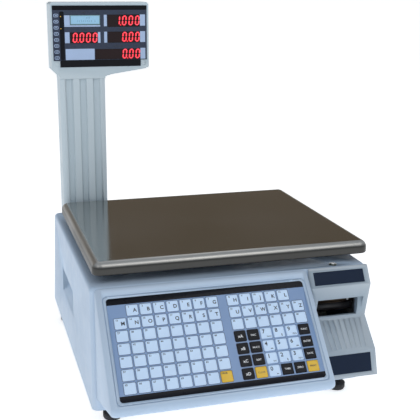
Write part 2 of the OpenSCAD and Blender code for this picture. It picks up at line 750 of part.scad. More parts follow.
module platter() color(steel) translate([platter_cx, platter_cy, 0]) {
    r = platter_corner_r;
    for (k = [0 : 3]) rotate([0, 0, 90 * k]) {
        w = k % 2 == 0 ? platter_w : platter_d;
        d = k % 2 == 0 ? platter_d : platter_w;
        translate([w / 2 - r, d / 2 - r, 0]) {
            rotate_extrude(angle = 90) platter_section();
            rotate([90, 0, 0]) linear_extrude(d - 2 * r) platter_section();
        }
    }
    translate([-platter_w / 2 + r, -platter_d / 2 + r, platter_z1 - platter_t])
        cube([platter_w - 2 * r, platter_d - 2 * r, platter_t]);
}

// ---------- electronics in the body ----------

module main_board() at_body() translate([-165, platter_cy - 60, tray_top]) {
    color("#2f6b3e") {
        translate([0, 0, 8]) cube([90, 120, 1.6]);
        for (x = [6, 84], y = [6, 114]) translate([x, y, 0]) cylinder(r = 3, h = 8);
    }
    color(dark) {
        translate([22, 40, 9.6]) cube([22, 22, 1.6]);
        translate([54, 44, 9.6]) cube([12, 20, 1.4]);
        translate([22, 76, 9.6]) cube([14, 10, 1.4]);
        for (i = [0 : 3]) translate([8 + i * 20, 106, 9.6]) cube([14, 7, 9]);
    }
    color("#4a5a78") for (i = [0 : 2]) translate([64, 12 + i * 11, 9.6]) cylinder(r = 4, h = 12);
}

module power_supply() at_body() translate([5, deck_back - 92, tray_top]) color("#b4b8bb") difference() {
    cube([98, 58, 34]);
    for (i = [0 : 9], j = [0 : 3]) translate([10 + i * 8.5, 10 + j * 12, 30])
        cylinder(r = 2.2, h = 10, $fn = 24);
}

// ---------- column and display ----------

module column_plan() translate([column_x, column_y0 + column_d / 2]) difference() {
    rounded(column_w, column_d, column_r);
    for (i = [0 : flutes - 1]) translate([(i - (flutes - 1) / 2) * flute_pitch, -column_d / 2 - 1])
        rounded(flute_w, 7.6, 2);
}

module column_bore() translate([column_x, column_y0 + column_d / 2 + 1.5])
    rounded(column_w - 2 * wall, column_d - 3 * wall + 0.5, 4);

// Upper end of the column, cut off where the display head starts
module column_part(y0, y1) color(shell_green) intersection() {
    translate([0, 0, deck_z]) linear_extrude(column_top - deck_z) difference() {
        column_plan();
        column_bore();
    }
    block([column_x - 60, y0, deck_z - 1], [column_x + 60, y1, column_top + 1]);
}

module column_front() at_body() column_part(column_y0 - 1, column_y0 + column_split);

// The rear cover follows the rear wall where the column stands over its slope
module column_rear() at_body() difference() {
    union() {
        column_part(column_y0 + column_split, column_y0 + column_d + 1);
        color(shell_green) translate([column_x - column_w / 2 + 6, deck_back + 1, deck_z - 25])
            cube([column_w - 12, 10, 25]);
    }
    housing_outer();
}

module column_mast() at_body() color("#7b8084") translate([column_x, mast_y, tray_top]) difference() {
    union() {
        cylinder(r = mast_r, h = head_z0 + 36 - tray_top);
        cylinder(r = 20, h = 4);
    }
    translate([0, 0, -1]) cylinder(r = mast_r - 1.5, h = head_z0 + 50);
}

// Front view of the head: its foot sweeps in to the column
module head_outline(inset) {
    x0 = head_x - head_w / 2 + inset;
    x1 = head_x + head_w / 2 - inset;
    c0 = column_x - column_w / 2 + inset;
    c1 = column_x + column_w / 2 - inset;
    polygon([
        [x0, head_z1 - inset - 3], [x0 + 3, head_z1 - inset],
        [x1 - 3, head_z1 - inset], [x1, head_z1 - inset - 3],
        [x1, head_z0 + 4 + inset], [x1 - 6, head_z0 + 1.5 + inset],
        [c1 + 10, head_z0 - 6 + inset], [c1, head_z0 - neck_h + 3],
        [c1, column_top], [c0, column_top],
        [c0, head_z0 - neck_h + 3], [c0 - 4, head_z0 - 5 + inset], [x0, head_z0 + 2 + inset]
    ]);
}

module along_y(y0, y1) translate([0, y1, 0]) rotate([90, 0, 0]) linear_extrude(y1 - y0) children();

module head_half(y0, y1, cavity0, cavity1) color(shell_green) difference() {
    along_y(y0, y1) head_outline(0);
    along_y(cavity0, cavity1) intersection() {
        head_outline(wall);
        translate([head_x - head_w, head_z0 + wall]) square([2 * head_w, head_h - 2 * wall]);
    }
    translate([column_x, mast_y, column_top - 1]) cylinder(r = mast_r + 0.3, h = 30);
}

module panel_outline(inset) difference() {
    translate([head_x - panel_w / 2 + inset, panel_z0 + inset])
        square([panel_w - 2 * inset, panel_z1 - panel_z0 - 2 * inset]);
    for (s = [-1, 1]) translate([head_x + s * panel_w / 2, panel_z0])
        square(2 * (notch + inset / 4), center = true);
}

module plugs(y0, y1, r) for (s = [-1, 1])
    translate([head_x + s * (panel_w / 2 - notch / 2), 0, panel_z0 + notch / 2]) rod_y(y0, y1, r);

module display_bezel() at_body() difference() {
    head_half(column_y0, column_y0 + head_split, column_y0 + wall + panel_t, column_y0 + head_split + 1);
    along_y(column_y0 - 1, column_y0 + panel_t) panel_outline(-0.2);
    along_y(column_y0 - 1, column_y0 + 12) panel_outline(4);
    plugs(column_y0 - 1, column_y0 + head_split - 6, plug_r + slip);
}

module display_rear_shell() at_body() difference() {
    head_half(column_y0 + head_split, head_y1, column_y0 + head_split - 1, head_y1 - wall - panel_t);
    along_y(head_y1 - panel_t, head_y1 + 1) panel_outline(-0.2);
    along_y(head_y1 - 12, head_y1 + 1) panel_outline(4);
}

// Windows: left edge and top edge from the panel's top left corner, width, height; they widen with the panel
window_scale = panel_w / 141.5;
windows = [
    [25.9, 13.4, 45, 14.5], [81.8, 13.1, 49, 18], [25.6, 38.5, 41, 16],
    [81.8, 37.9, 49, 16.4], [62.3, 63.3, 69, 15.4]
];

module window_cuts(inset) for (w = windows)
    translate([head_x - panel_w / 2 + w[0] * window_scale + inset, panel_z1 - w[1] - w[3] + inset])
        square([w[2] * window_scale - 2 * inset, w[3] - 2 * inset]);

module panel_plate() along_y(column_y0, column_y0 + panel_t) difference() {
    panel_outline(0);
    window_cuts(0);
}

// Turns a piece of the head's front to its customer side
module to_rear() translate([2 * head_x, column_y0 + head_y1, 0]) rotate([0, 0, 180]) children();

module display_panel() at_body() color(navy) panel_plate();

module customer_panel() at_body() color(navy) to_rear() panel_plate();

module digit_modules() at_body() color("#2a0c0c") {
    along_y(column_y0 + 0.6, column_y0 + 8) window_cuts(0.2);
    to_rear() along_y(column_y0 + 0.6, column_y0 + 8) window_cuts(0.2);
}

module display_board() at_body() color("#2f6b3e") difference() {
    half = panel_w / 2 - 8;
    for (y = [column_y0 + 8, head_y1 - 9.6])
        block([head_x - half, y, panel_z0 + 12], [head_x + half, y + 1.6, panel_z1 - 6]);
    translate([column_x, mast_y, 0]) cylinder(r = mast_r + 1, h = head_z0 + 38);
}

// ---------- outside details ----------

module power_inlet() at_body() translate([inlet_x, io_y, io_z0 + io_h / 2]) {
    color(dark) difference() {
        union() {
            block([-13.7, -18, -11.2], [13.7, 0, 11.2]);
            block([-16, 0, -13.5], [16, 2, 13.5]);
        }
        block([-12, -12, -8.5], [12, 3, 8.5]);
    }
    color(steel) for (p = [[-7, -2], [0, 2], [7, -2]])
        translate([p[0], 0, p[1]]) block([-1, -12.5, -2], [1, -1, 2]);
}

rocker_pivot_y = io_y - 5;
module power_rocker() at_body() color(dark)
    translate([rocker_x, rocker_pivot_y, io_z0 + io_h / 2]) difference() {
        union() {
            rod_x(-6.6, 6.6, 3);
            along_x(-5, 5)
                polygon([[-3, -4], [4.5, -7.6], [8, -7.6], [6.2, 0], [6.4, 7.6], [3, 7.6], [-3, 4]]);
        }
        rod_x(-8, 8, 1);
    }

module data_ports() at_body() color("#3b4046") {
    for (x = port_list) translate([io_x0 + x, io_y, io_z0 + 18]) difference() {
        block([-port_w / 2 + 0.3, -12, -7.2], [port_w / 2 - 0.3, 0.6, 7.2]);
        block([-6, -8, -4.5], [6, 1, 4.5]);
    }
    // frame and pin of the rocker switch
    translate([rocker_x, io_y, io_z0 + io_h / 2]) {
        difference() {
            block([-7, -16, -10.8], [7, 0, 10.8]);
            block([-5.6, -13, -9.6], [5.6, 1, 9.6]);
            translate([0, -5, 0]) rod_x(-6.7, 6.7, 3.3);
        }
        translate([0, -5, 0]) rod_x(-7, 7, 0.95);
    }
}

module spirit_level() at_body() translate([level_x, platter_y0 + 1, deck_z - 2.5]) color("#d7e7c0") {
    cylinder(r = 5, h = 3.3);
    cylinder(r = 4, h = 3.8);
}

module foot(i) at_body() color(dark) translate([foot_list[i][0], foot_list[i][1], 0]) {
    cylinder(r1 = foot_r - 1, r2 = foot_r, h = 2);
    translate([0, 0, 2]) cylinder(r = foot_r, h = 6);
    translate([0, 0, 8]) cylinder(r1 = foot_r, r2 = 9, h = 2);
    translate([0, 0, 10]) cylinder(r = 7, h = foot_h - 10.5, $fn = 6);
    translate([0, 0, 10]) cylinder(r = stud_m, h = foot_h + tray_t + 2);
}

module pan_screw(r, head, l) {
    translate([0, 0, -head * 0.6]) cylinder(r = head, h = head * 0.6);
    cylinder(r = r, h = l);
}

module screws() at_body() {
    color(steel) {
        // housing to base tray, from below
        for (p = boss_list) translate([p[0], p[1], foot_h]) pan_screw(1.5, 3, 11);
        // rear display screws
        plugs(head_y1, head_y1 + 1, 3);
    }
    // plugs over the display's front screws
    color("#565c62") plugs(column_y0 + 0.3, column_y0 + head_split - 6, plug_r);
}

base_tray();
housing();
console_shell();
keyboard_backplate();
membrane_overlay();
preset_keys();
key(0);  // key_digit_7
key(1);  // key_digit_8
key(2);  // key_digit_9
key(3);  // key_function
key(4);  // key_digit_4
key(5);  // key_digit_5
key(6);  // key_digit_6
key(7);  // key_enter
key(8);  // key_digit_1
key(9);  // key_digit_2
key(10);  // key_digit_3
key(11);  // key_date
key(12);  // key_digit_0
key(13);  // key_point
key(14);  // key_zero_set
key(15);  // key_print
printer_fascia();
printer_label_panels();
printer_door();
door_hinge_pin();
printer_chassis();
print_head();
platen_roller();
platen_gear();
feed_motor();
motor_pinion();
label_roll();
takeup_spool();
load_cell_pedestal();
load_cell();
load_cell_bolts();
platter_spider();
platter_buffers();
platter();
main_board();
power_supply();
column_front();
column_rear();
column_mast();
display_bezel();
display_rear_shell();
display_panel();
digit_modules();
display_board();
customer_panel();
power_inlet();
power_rocker();
data_ports();
spirit_level();
foot(0);  // foot_front_left
foot(1);  // foot_front_right
foot(2);  // foot_rear_left
foot(3);  // foot_rear_right
screws();
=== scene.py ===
"""Finishes, keys, legends, display and stage of a retail price scale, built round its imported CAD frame."""

import json
import math
import random

import bmesh
import bpy
from bpy.props import FloatProperty, FloatVectorProperty, IntProperty, PointerProperty
from mathutils import Matrix, Vector

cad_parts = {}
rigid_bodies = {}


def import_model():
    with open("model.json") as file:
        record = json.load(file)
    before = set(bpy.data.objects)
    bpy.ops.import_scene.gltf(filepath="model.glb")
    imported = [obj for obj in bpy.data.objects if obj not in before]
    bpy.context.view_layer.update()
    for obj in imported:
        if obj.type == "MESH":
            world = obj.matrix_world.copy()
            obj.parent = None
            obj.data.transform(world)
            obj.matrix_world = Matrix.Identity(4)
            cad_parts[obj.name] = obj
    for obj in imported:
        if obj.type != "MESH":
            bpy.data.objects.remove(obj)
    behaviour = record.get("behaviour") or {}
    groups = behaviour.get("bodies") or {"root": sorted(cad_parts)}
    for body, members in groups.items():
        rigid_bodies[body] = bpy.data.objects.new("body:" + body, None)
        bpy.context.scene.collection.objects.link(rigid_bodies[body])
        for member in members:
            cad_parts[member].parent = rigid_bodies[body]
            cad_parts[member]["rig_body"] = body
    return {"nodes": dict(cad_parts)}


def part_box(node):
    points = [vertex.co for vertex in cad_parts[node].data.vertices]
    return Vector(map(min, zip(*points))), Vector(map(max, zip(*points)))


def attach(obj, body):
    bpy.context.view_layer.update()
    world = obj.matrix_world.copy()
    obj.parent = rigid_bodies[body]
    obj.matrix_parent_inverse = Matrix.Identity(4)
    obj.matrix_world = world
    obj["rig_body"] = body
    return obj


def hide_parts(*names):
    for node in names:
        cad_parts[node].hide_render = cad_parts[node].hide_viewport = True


bl_info = {
    "name": "Retail price scale",
    "version": (1, 0, 0),
    "blender": (4, 5, 0),
    "location": "3D view > Sidebar > Scale",
    "description": "Builds the visible pieces of a retail price scale round its CAD frame",
    "category": "Object",
}

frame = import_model()
NODES = frame["nodes"]
BODY_OF = {n: o["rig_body"] for n, o in NODES.items()}
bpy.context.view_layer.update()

MM = 0.001
TILT = math.radians(47.7)  # slope of the keyboard, from level
MEMBRANE_HALF = 0.75 * MM  # half the membrane's thickness

# Keyboard grid, as the CAD frame has it: columns 0 to 7 stand left of the gap, 8 to 13 right of it
LEFT_COLUMNS = 8
COLUMNS = 14
ROWS = 7
SIDE_MARGIN = 5 * MM
TOP_STRIP = 8.7 * MM
BOTTOM_STRIP = 7.6 * MM
FIRST_MOVING_COLUMN = 10
FIRST_MOVING_ROW = 3
MOVING_KEYS = [
    "key_digit_7", "key_digit_8", "key_digit_9", "key_function",
    "key_digit_4", "key_digit_5", "key_digit_6", "key_enter",
    "key_digit_1", "key_digit_2", "key_digit_3", "key_date",
    "key_digit_0", "key_point", "key_zero_set", "key_print",
]


# ---------- sizes and colours ----------


def colour(name, description, default):
    return FloatVectorProperty(
        name=name, description=description, default=default, size=3, min=0, max=1, subtype="COLOR"
    )


def length(name, description, default_mm):
    return FloatProperty(
        name=name, description=description, default=default_mm * MM, min=0, unit="LENGTH", precision=5
    )


class ScaleSizes(bpy.types.PropertyGroup):
    shell_edge: length("Shell edge", "Rounding of the plastic shells' edges", 0.9)
    metal_edge: length("Metal edge", "Rounding of the metal parts' edges", 0.35)
    key_corner: length("Key corner", "Corner radius of a key in plan", 1.5)
    key_pitch_x: length("Key column pitch", "Distance between key columns", 16.5)
    key_pitch_y: length("Key row pitch", "Distance between key rows", 15.5)
    key_block_gap: length("Key block gap", "Gap between the left and right key blocks", 10)
    platter_bullnose: length("Platter bullnose", "Radius of the platter's rolled edge", 9.5)
    platter_corner: length("Platter corner", "Radius of the platter's corners in plan", 12)
    digit_slant: FloatProperty(
        name="Digit slant", description="Lean of the display's digits", default=math.radians(5),
        min=0, max=0.5, subtype="ANGLE",
    )
    lamp_labels: IntProperty(
        name="Lamp labels", description="Number of ringed lamp labels down the display's left",
        default=8, min=0, max=8,
    )


class ScaleColours(bpy.types.PropertyGroup):
    body: colour("Body plastic", "Housing and keyboard console", (0.395, 0.53, 0.70))
    shell: colour("Column plastic", "Column and display head", (0.40, 0.51, 0.58))
    fascia: colour("Printer front plastic", "Front of the printer", (0.30, 0.375, 0.445))
    steel: colour("Platter steel", "Brushed stainless steel", (0.40, 0.40, 0.385))
    key_field: colour("Keyboard field", "Film between the keys", (0.185, 0.30, 0.52))
    key_white: colour("Light key", "Preset and digit keys", (0.56, 0.74, 0.98))
    key_black: colour("Dark key", "Function keys", (0.008, 0.009, 0.013))
    key_yellow: colour("Yellow key", "Clear, page and print keys", (0.72, 0.45, 0.012))
    strip: colour("Keyboard strip", "Dark strips above and below the keys", (0.008, 0.009, 0.014))
    panel: colour("Display panel", "Slate film of the display", (0.040, 0.052, 0.084))
    caption: colour("Captions", "Captions over the display's windows", (0.012, 0.015, 0.022))
    panel_dark: colour("Display bands", "Black bands of the display film", (0.004, 0.005, 0.008))
    panel_pale: colour("Display blocks", "Pale printed blocks of the display film", (0.36, 0.48, 0.70))
    navy: colour("Printer panels", "Dark panels on the printer's front", (0.010, 0.019, 0.042))
    led: colour("Lit digit", "Light of the display's digits", (0.80, 0.004, 0.016))
    ink: colour("Ink", "Legends on light keys", (0.012, 0.015, 0.03))
    # outline is a painted shadow: the dark band round each preset key stands for the shadow of its embossed
    # edge.
    outline: colour("Key outline", "Dark line printed round a key", (0.045, 0.065, 0.12))
    rubber: colour("Rubber", "Feet, buffers and platen", (0.010, 0.010, 0.012))


def sizes():
    return bpy.context.scene.scale_sizes


def colours():
    return bpy.context.scene.scale_colours


# ---------- materials ----------

MATERIALS = {}


class Finish:
    """A node material under construction: the shader's sockets, and noise on the object's own coordinates."""

    def __init__(self, name, base, roughness, metallic=0.0):
        self.material = bpy.data.materials.new(name)
        self.material.use_nodes = True
        self.nodes = self.material.node_tree.nodes
        self.links = self.material.node_tree.links
        self.shader = self.nodes["Principled BSDF"]
        self.shader.inputs["Base Color"].default_value = (*base, 1)
        self.shader.inputs["Roughness"].default_value = roughness
        self.shader.inputs["Metallic"].default_value = metallic
        self.material.diffuse_color = (*base, 1)
        self.base = base
        self.place = self.nodes.new("ShaderNodeTexCoord").outputs["Object"]
        self.bumps = None

    def soft_edges(self, radius):
        """Rounds the look of sharp edges, and of the corners where two faces meet inside one piece."""
        node = self.nodes.new("ShaderNodeBevel")
        node.samples = 4
        node.inputs["Radius"].default_value = radius
        self.bumps = node.outputs["Normal"]
        self.links.new(self.bumps, self.shader.inputs["Normal"])

    def stretched(self, scale):
        mapping = self.nodes.new("ShaderNodeMapping")
        mapping.inputs["Scale"].default_value = scale
        self.links.new(self.place, mapping.inputs["Vector"])
        return mapping.outputs["Vector"]

    def noise(self, scale, detail=3.0, roughness=0.55, stretch=None):
        """A 0 to 1 value with that many waves per metre."""
        node = self.nodes.new("ShaderNodeTexNoise")
        node.inputs["Scale"].default_value = scale
        node.inputs["Detail"].default_value = detail
        node.inputs["Roughness"].default_value = roughness
        self.links.new(self.stretched(stretch) if stretch else self.place, node.inputs["Vector"])
        return node.outputs["Fac"]

    def spread(self, value, low, high, from_low=0.3, from_high=0.7):
        """Maps a value onto the range from low to high."""
        node = self.nodes.new("ShaderNodeMapRange")
        node.inputs["From Min"].default_value = from_low
        node.inputs["From Max"].default_value = from_high
        node.inputs["To Min"].default_value = low
        node.inputs["To Max"].default_value = high
        self.links.new(value, node.inputs["Value"])
        return node.outputs["Result"]

    def tint(self, value, low, high):
        """Base colour from low to high times the base, driven by a 0 to 1 value."""
        ramp = self.nodes.new("ShaderNodeValToRGB")
        ramp.color_ramp.elements[0].position = 0.3
        ramp.color_ramp.elements[1].position = 0.7
        ramp.color_ramp.elements[0].color = (*[c * low for c in self.base], 1)
        ramp.color_ramp.elements[1].color = (*[min(1, c * high) for c in self.base], 1)
        self.links.new(value, ramp.inputs["Fac"])
        self.links.new(ramp.outputs["Color"], self.shader.inputs["Base Color"])
        return ramp

    def rough(self, value, low, high):
        self.links.new(self.spread(value, low, high), self.shader.inputs["Roughness"])

    def bump(self, value, height, strength=0.5):
        """Adds relief of that height in metres to what the shader has already."""
        node = self.nodes.new("ShaderNodeBump")
        node.inputs["Distance"].default_value = height
        node.inputs["Strength"].default_value = strength
        self.links.new(value, node.inputs["Height"])
        if self.bumps:
            self.links.new(self.bumps, node.inputs["Normal"])
        self.bumps = node.outputs["Normal"]
        self.links.new(self.bumps, self.shader.inputs["Normal"])

    def wear(self, amount):
        """Lightens convex edges a little towards white."""
        geometry = self.nodes.new("ShaderNodeNewGeometry")
        edge = self.spread(geometry.outputs["Pointiness"], 0, amount, 0.51, 0.60)
        mix = self.nodes.new("ShaderNodeMix")
        mix.data_type = "RGBA"
        source = self.shader.inputs["Base Color"].links
        if source:
            self.links.new(source[0].from_socket, mix.inputs[6])
        else:
            mix.inputs[6].default_value = (*self.base, 1)
        mix.inputs[7].default_value = (*[c + (1 - c) * 0.35 for c in self.base], 1)
        self.links.new(edge, mix.inputs[0])
        self.links.new(mix.outputs[2], self.shader.inputs["Base Color"])


def made(name, make):
    """The material of that name, made the first time it is asked for."""
    if name not in MATERIALS:
        MATERIALS[name] = make(name).material
    return MATERIALS[name]


def moulded(name, base, roughness=0.42, grain=0.00006):
    """Moulded plastic: fine spark-eroded grain, slow waviness, convex edges a little lighter."""

    def make(key):
        f = Finish(key, base, roughness)
        f.soft_edges(sizes().shell_edge)
        slow = f.noise(9, 3)
        f.tint(slow, 0.955, 1.04)
        f.rough(f.noise(55, 4), roughness - 0.06, roughness + 0.07)
        f.bump(f.noise(1900, 2, 0.7), grain, 0.35)
        f.bump(f.noise(14, 1), 0.0006, 0.10)
        f.wear(0.5)
        f.shader.inputs["Specular IOR Level"].default_value = 0.45
        return f

    return made(name, make)


def film(name, base, roughness=0.34, dull=False):
    """Printed polyester film with a fine matt texture."""

    def make(key):
        f = Finish(key, base, roughness)
        f.tint(f.noise(30, 2), 0.97, 1.03)
        f.rough(f.noise(160, 3), roughness - 0.05, roughness + 0.06)
        f.bump(f.noise(3200, 2, 0.6), 0.00002, 0.25)
        if dull:
            f.shader.inputs["Specular IOR Level"].default_value = 0.12
        return f

    return made(name, make)


def brushed(name, base, roughness, edge=False):
    """Sheet steel with brush lines along X; edge paints shade into the colour, darker the more a face turns
    sideways from upwards.
    """

    def make(key):
        f = Finish(key, base, roughness, 1.0)
        across = (0.012, 1.0, 1.0)  # stretches the noise along X
        fine = f.noise(1500, 5, 0.75, across)
        broad = f.noise(240, 3, 0.6, across)
        cloud = f.noise(7, 2)
        if edge:
            parts = f.nodes.new("ShaderNodeSeparateXYZ")
            f.links.new(f.nodes.new("ShaderNodeNewGeometry").outputs["Normal"], parts.inputs["Vector"])
            # Painted shade: the colour falls to 0.16 of the base on faces whose normal rises less than 0.3,
            # and reaches 1.15 on faces that look up.
            f.tint(parts.outputs["Z"], 0.16, 1.15)
        else:
            f.tint(fine, 0.93, 1.07)
        f.rough(cloud, roughness * 0.85, roughness * 1.15)
        f.bump(fine, 0.00003, 0.35)
        f.bump(broad, 0.00005, 0.2)
        f.shader.inputs["Anisotropic"].default_value = 0.45
        return f

    return made(name, make)


def metal(name, base, roughness=0.38, lumps=0.0):
    """Turned, milled or cast metal."""

    def make(key):
        f = Finish(key, base, roughness, 1.0)
        f.soft_edges(sizes().metal_edge)
        f.tint(f.noise(40, 4), 0.9, 1.06)
        f.rough(f.noise(220, 4), roughness - 0.08, roughness + 0.1)
        f.bump(f.noise(700, 3), 0.00004, 0.4)
        if lumps:
            f.bump(f.noise(160, 3), lumps, 0.4)
        return f

    return made(name, make)


def rubbery(name, base, roughness=0.62):
    """Rubber with a dusty bloom."""

    def make(key):
        f = Finish(key, base, roughness)
        f.soft_edges(sizes().shell_edge)
        ramp = f.tint(f.noise(90, 5), 0.8, 1.9)
        ramp.color_ramp.elements[0].position = 0.4
        f.rough(f.noise(260, 3), roughness - 0.08, roughness + 0.12)
        f.bump(f.noise(900, 3), 0.00007, 0.5)
        return f

    return made(name, make)


def board_green(name):
    """Circuit board: lacquer over copper tracks, drawn as a fine grid of cells."""

    def make(key):
        base = (0.02, 0.11, 0.045)
        f = Finish(key, base, 0.3)
        cells = f.nodes.new("ShaderNodeTexVoronoi")
        cells.distance = "MANHATTAN"
        cells.feature = "DISTANCE_TO_EDGE"
        cells.inputs["Scale"].default_value = 260
        f.links.new(f.place, cells.inputs["Vector"])
        f.tint(f.spread(cells.outputs["Distance"], 1, 0, 0.02, 0.10), 1.0, 2.1)
        f.bump(cells.outputs["Distance"], 0.00005, 0.3)
        f.shader.inputs["Coat Weight"].default_value = 0.3
        return f

    return made(name, make)


def wound_paper(name):
    """A roll of labels: pale paper whose turns show on its ends."""

    def make(key):
        base = (0.80, 0.78, 0.71)
        f = Finish(key, base, 0.75)
        low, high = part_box("label_roll")
        middle = (low + high) / 2
        shift = f.nodes.new("ShaderNodeVectorMath")
        shift.operation = "SUBTRACT"
        shift.inputs[1].default_value = (0, middle.y, middle.z)
        f.links.new(f.place, shift.inputs[0])
        flat = f.nodes.new("ShaderNodeVectorMath")
        flat.operation = "MULTIPLY"
        flat.inputs[1].default_value = (0, 1, 1)
        f.links.new(shift.outputs["Vector"], flat.inputs[0])
        radius = f.nodes.new("ShaderNodeVectorMath")
        radius.operation = "LENGTH"
        f.links.new(flat.outputs["Vector"], radius.inputs[0])
        turns = f.nodes.new("ShaderNodeMath")
        turns.operation = "PINGPONG"
        turns.inputs[1].default_value = 0.0004
        f.links.new(radius.outputs["Value"], turns.inputs[0])
        f.tint(f.spread(turns.outputs["Value"], 0, 1, 0, 0.0004), 0.86, 1.05)
        f.bump(f.noise(420, 4), 0.00004, 0.4)
        return f

    return made(name, make)


def dark_window(name):
    """Smoked acrylic in front of the digits."""

    def make(key):
        f = Finish(key, (0.012, 0.004, 0.005), 0.10)
        f.rough(f.noise(60, 2), 0.07, 0.14)
        f.tint(f.noise(25, 2), 0.8, 1.2)
        f.shader.inputs["Specular IOR Level"].default_value = 0.2
        return f

    return made(name, make)


def glowing(name, base, strength):
    """A surface that gives off light of its own colour, not quite evenly."""

    def make(key):
        f = Finish(key, [c * 0.6 for c in base], 0.4)
        f.shader.inputs["Emission Color"].default_value = (*base, 1)
        glow = f.spread(f.noise(900, 1), strength * 0.9, strength * 1.1)
        f.links.new(glow, f.shader.inputs["Emission Strength"])
        return f

    return made(name, make)


def vial_glass(name):
    """Dark tinted glass of a spirit level."""

    def make(key):
        f = Finish(key, (0.10, 0.14, 0.12), 0.06)
        f.tint(f.noise(200, 2), 0.9, 1.1)
        f.shader.inputs["Transmission Weight"].default_value = 0.6
        f.shader.inputs["IOR"].default_value = 1.45
        f.shader.inputs["Coat Weight"].default_value = 0.6
        return f

    return made(name, make)


def body_plastic():
    return moulded("body_plastic", colours().body)


def shell_plastic():
    return moulded("shell_plastic", colours().shell)


def fascia_plastic():
    return moulded("fascia_plastic", colours().fascia, 0.46, 0.00009)


def black_plastic():
    return moulded("black_plastic", (0.018, 0.019, 0.022), 0.38)


def bright_steel():
    return metal("bright_steel", (0.58, 0.58, 0.57), 0.28)


def zinc_sheet():
    return metal("zinc_sheet", (0.48, 0.50, 0.52), 0.42)


def cast_aluminium():
    return metal("cast_aluminium", (0.60, 0.61, 0.62), 0.42, 0.00012)


# ---------- mesh helpers ----------


def new_object(name, mesh):
    """Links a new object with that data to the scene."""
    o = bpy.data.objects.new(name, mesh)
    bpy.context.scene.collection.objects.link(o)
    return o


def mesh_of(name, bm, materials, sharp=35):
    """Turns the bmesh into a mesh that is smooth but for edges sharper than that many degrees."""
    bmesh.ops.recalc_face_normals(bm, faces=bm.faces)
    mesh = bpy.data.meshes.new(name)
    bm.to_mesh(mesh)
    bm.free()
    for m in materials:
        mesh.materials.append(m)
    mesh.shade_smooth()
    mesh.set_sharp_from_angle(angle=math.radians(sharp))
    return mesh


def welded(node):
    """The CAD node's mesh as a bmesh, its faces joined at shared corners."""
    bm = bmesh.new()
    bm.from_mesh(NODES[node].data)
    bmesh.ops.remove_doubles(bm, verts=bm.verts, dist=2e-6)
    return bm


def carried(o, node):
    """Puts a piece in the CAD node's place: hides the node and puts the piece on its body."""
    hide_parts(node)
    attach(o, BODY_OF[node])
    return o


def finished(node, materials, sharp=32, name=None):
    """The CAD node's solid with its materials and smooth shading over its curves."""
    return carried(new_object(name or node + "_piece", mesh_of(node, welded(node), materials, sharp)), node)


def rounded_outline(w, h, r, steps=5):
    """Corner points of a rounded rectangle about the origin, anticlockwise."""
    points = []
    for cx, cy, start in ((1, 1, 0), (-1, 1, 90), (-1, -1, 180), (1, -1, 270)):
        for i in range(steps + 1):
            a = math.radians(start + 90 * i / steps)
            points.append((cx * (w / 2 - r) + r * math.cos(a), cy * (h / 2 - r) + r * math.sin(a)))
    return points


def add_loops(bm, loops, material=0):
    """Skins a stack of loops with equal point counts and closes both ends; a loop is a list of 3-D points."""
    rings = [[bm.verts.new(p) for p in loop] for loop in loops]
    count = len(rings[0])
    faces = []
    for a, b in zip(rings, rings[1:]):
        for i in range(count):
            j = (i + 1) % count
            faces.append(bm.faces.new((a[i], a[j], b[j], b[i])))
    faces.append(bm.faces.new(list(reversed(rings[0]))))
    faces.append(bm.faces.new(rings[-1]))
    for f in faces:
        f.material_index = material


def add_pad(bm, centre, w, h, r, levels, material, place, steps=5):
    """A pad with rounded corners: levels are (inset, height) from its foot to its top."""
    loops = []
    for inset, z in levels:
        outline = rounded_outline(w - 2 * inset, h - 2 * inset, max(r - inset, LEAST_CORNER), steps)
        loops.append([place @ Vector((centre[0] + x, centre[1] + y, z)) for x, y in outline])
    add_loops(bm, loops, material)


LEAST_CORNER = 0.2 * MM  # smallest corner radius of a printed or embossed pad
INK_HEIGHT = 0.03 * MM  # half the thickness of a printed character
GLYPHS = {}


def glyphs(text, size, bold=0.0):
    """Vertices and faces of a line of characters, centred on the origin, as thin raised ink."""
    key = (text, round(size, 6), bold)
    if key not in GLYPHS:
        curve = bpy.data.curves.new("legend", "FONT")
        curve.body = text
        curve.size = size
        curve.align_x = "CENTER"
        curve.align_y = "CENTER"
        curve.resolution_u = 3
        curve.extrude = INK_HEIGHT
        curve.offset = bold
        o = new_object("legend", curve)
        evaluated = o.evaluated_get(bpy.context.evaluated_depsgraph_get())
        mesh = evaluated.to_mesh()
        GLYPHS[key] = ([v.co.copy() for v in mesh.vertices], [tuple(p.vertices) for p in mesh.polygons])
        evaluated.to_mesh_clear()
        bpy.data.objects.remove(o)
        bpy.data.curves.remove(curve)
    return GLYPHS[key]


def add_text(bm, text, size, place, material, bold=0.0):
    """Adds a line of characters: size is its height setting, bold widens every stroke by that much."""
    verts, faces = glyphs(text, size, bold)
    made_verts = [bm.verts.new(place @ v) for v in verts]
    for f in faces:
        try:
            bm.faces.new([made_verts[i] for i in f]).material_index = material
        except ValueError:
            continue  # two faces of one glyph share all their corners


def keyboard_place():
    """Frame of the membrane: origin in the middle of its top face, x across, y up the slope, z out of it."""
    low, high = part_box("membrane_overlay")
    normal = Vector((0, -math.sin(TILT), math.cos(TILT)))
    origin = (low + high) / 2 + normal * MEMBRANE_HALF
    return Matrix.Translation(origin) @ Matrix.Rotation(TILT, 4, "X")


def membrane_size():
    """Width and height of the membrane in its own plane."""
    pitch_x, pitch_y = sizes().key_pitch_x, sizes().key_pitch_y
    return (
        COLUMNS * pitch_x + sizes().key_block_gap + 2 * SIDE_MARGIN,
        ROWS * pitch_y + TOP_STRIP + BOTTOM_STRIP,
    )


def key_centre(column, row):
    """Middle of a key in the membrane's plane, from the membrane's middle."""
    w, h = membrane_size()
    gap = sizes().key_block_gap if column >= LEFT_COLUMNS else 0
    return (
        -w / 2 + SIDE_MARGIN + sizes().key_pitch_x * (column + 0.5) + gap,
        h / 2 - TOP_STRIP - sizes().key_pitch_y * (row + 0.5),
    )


# ---------- operators ----------


class ScaleOperator:
    bl_options = {"REGISTER", "UNDO"}


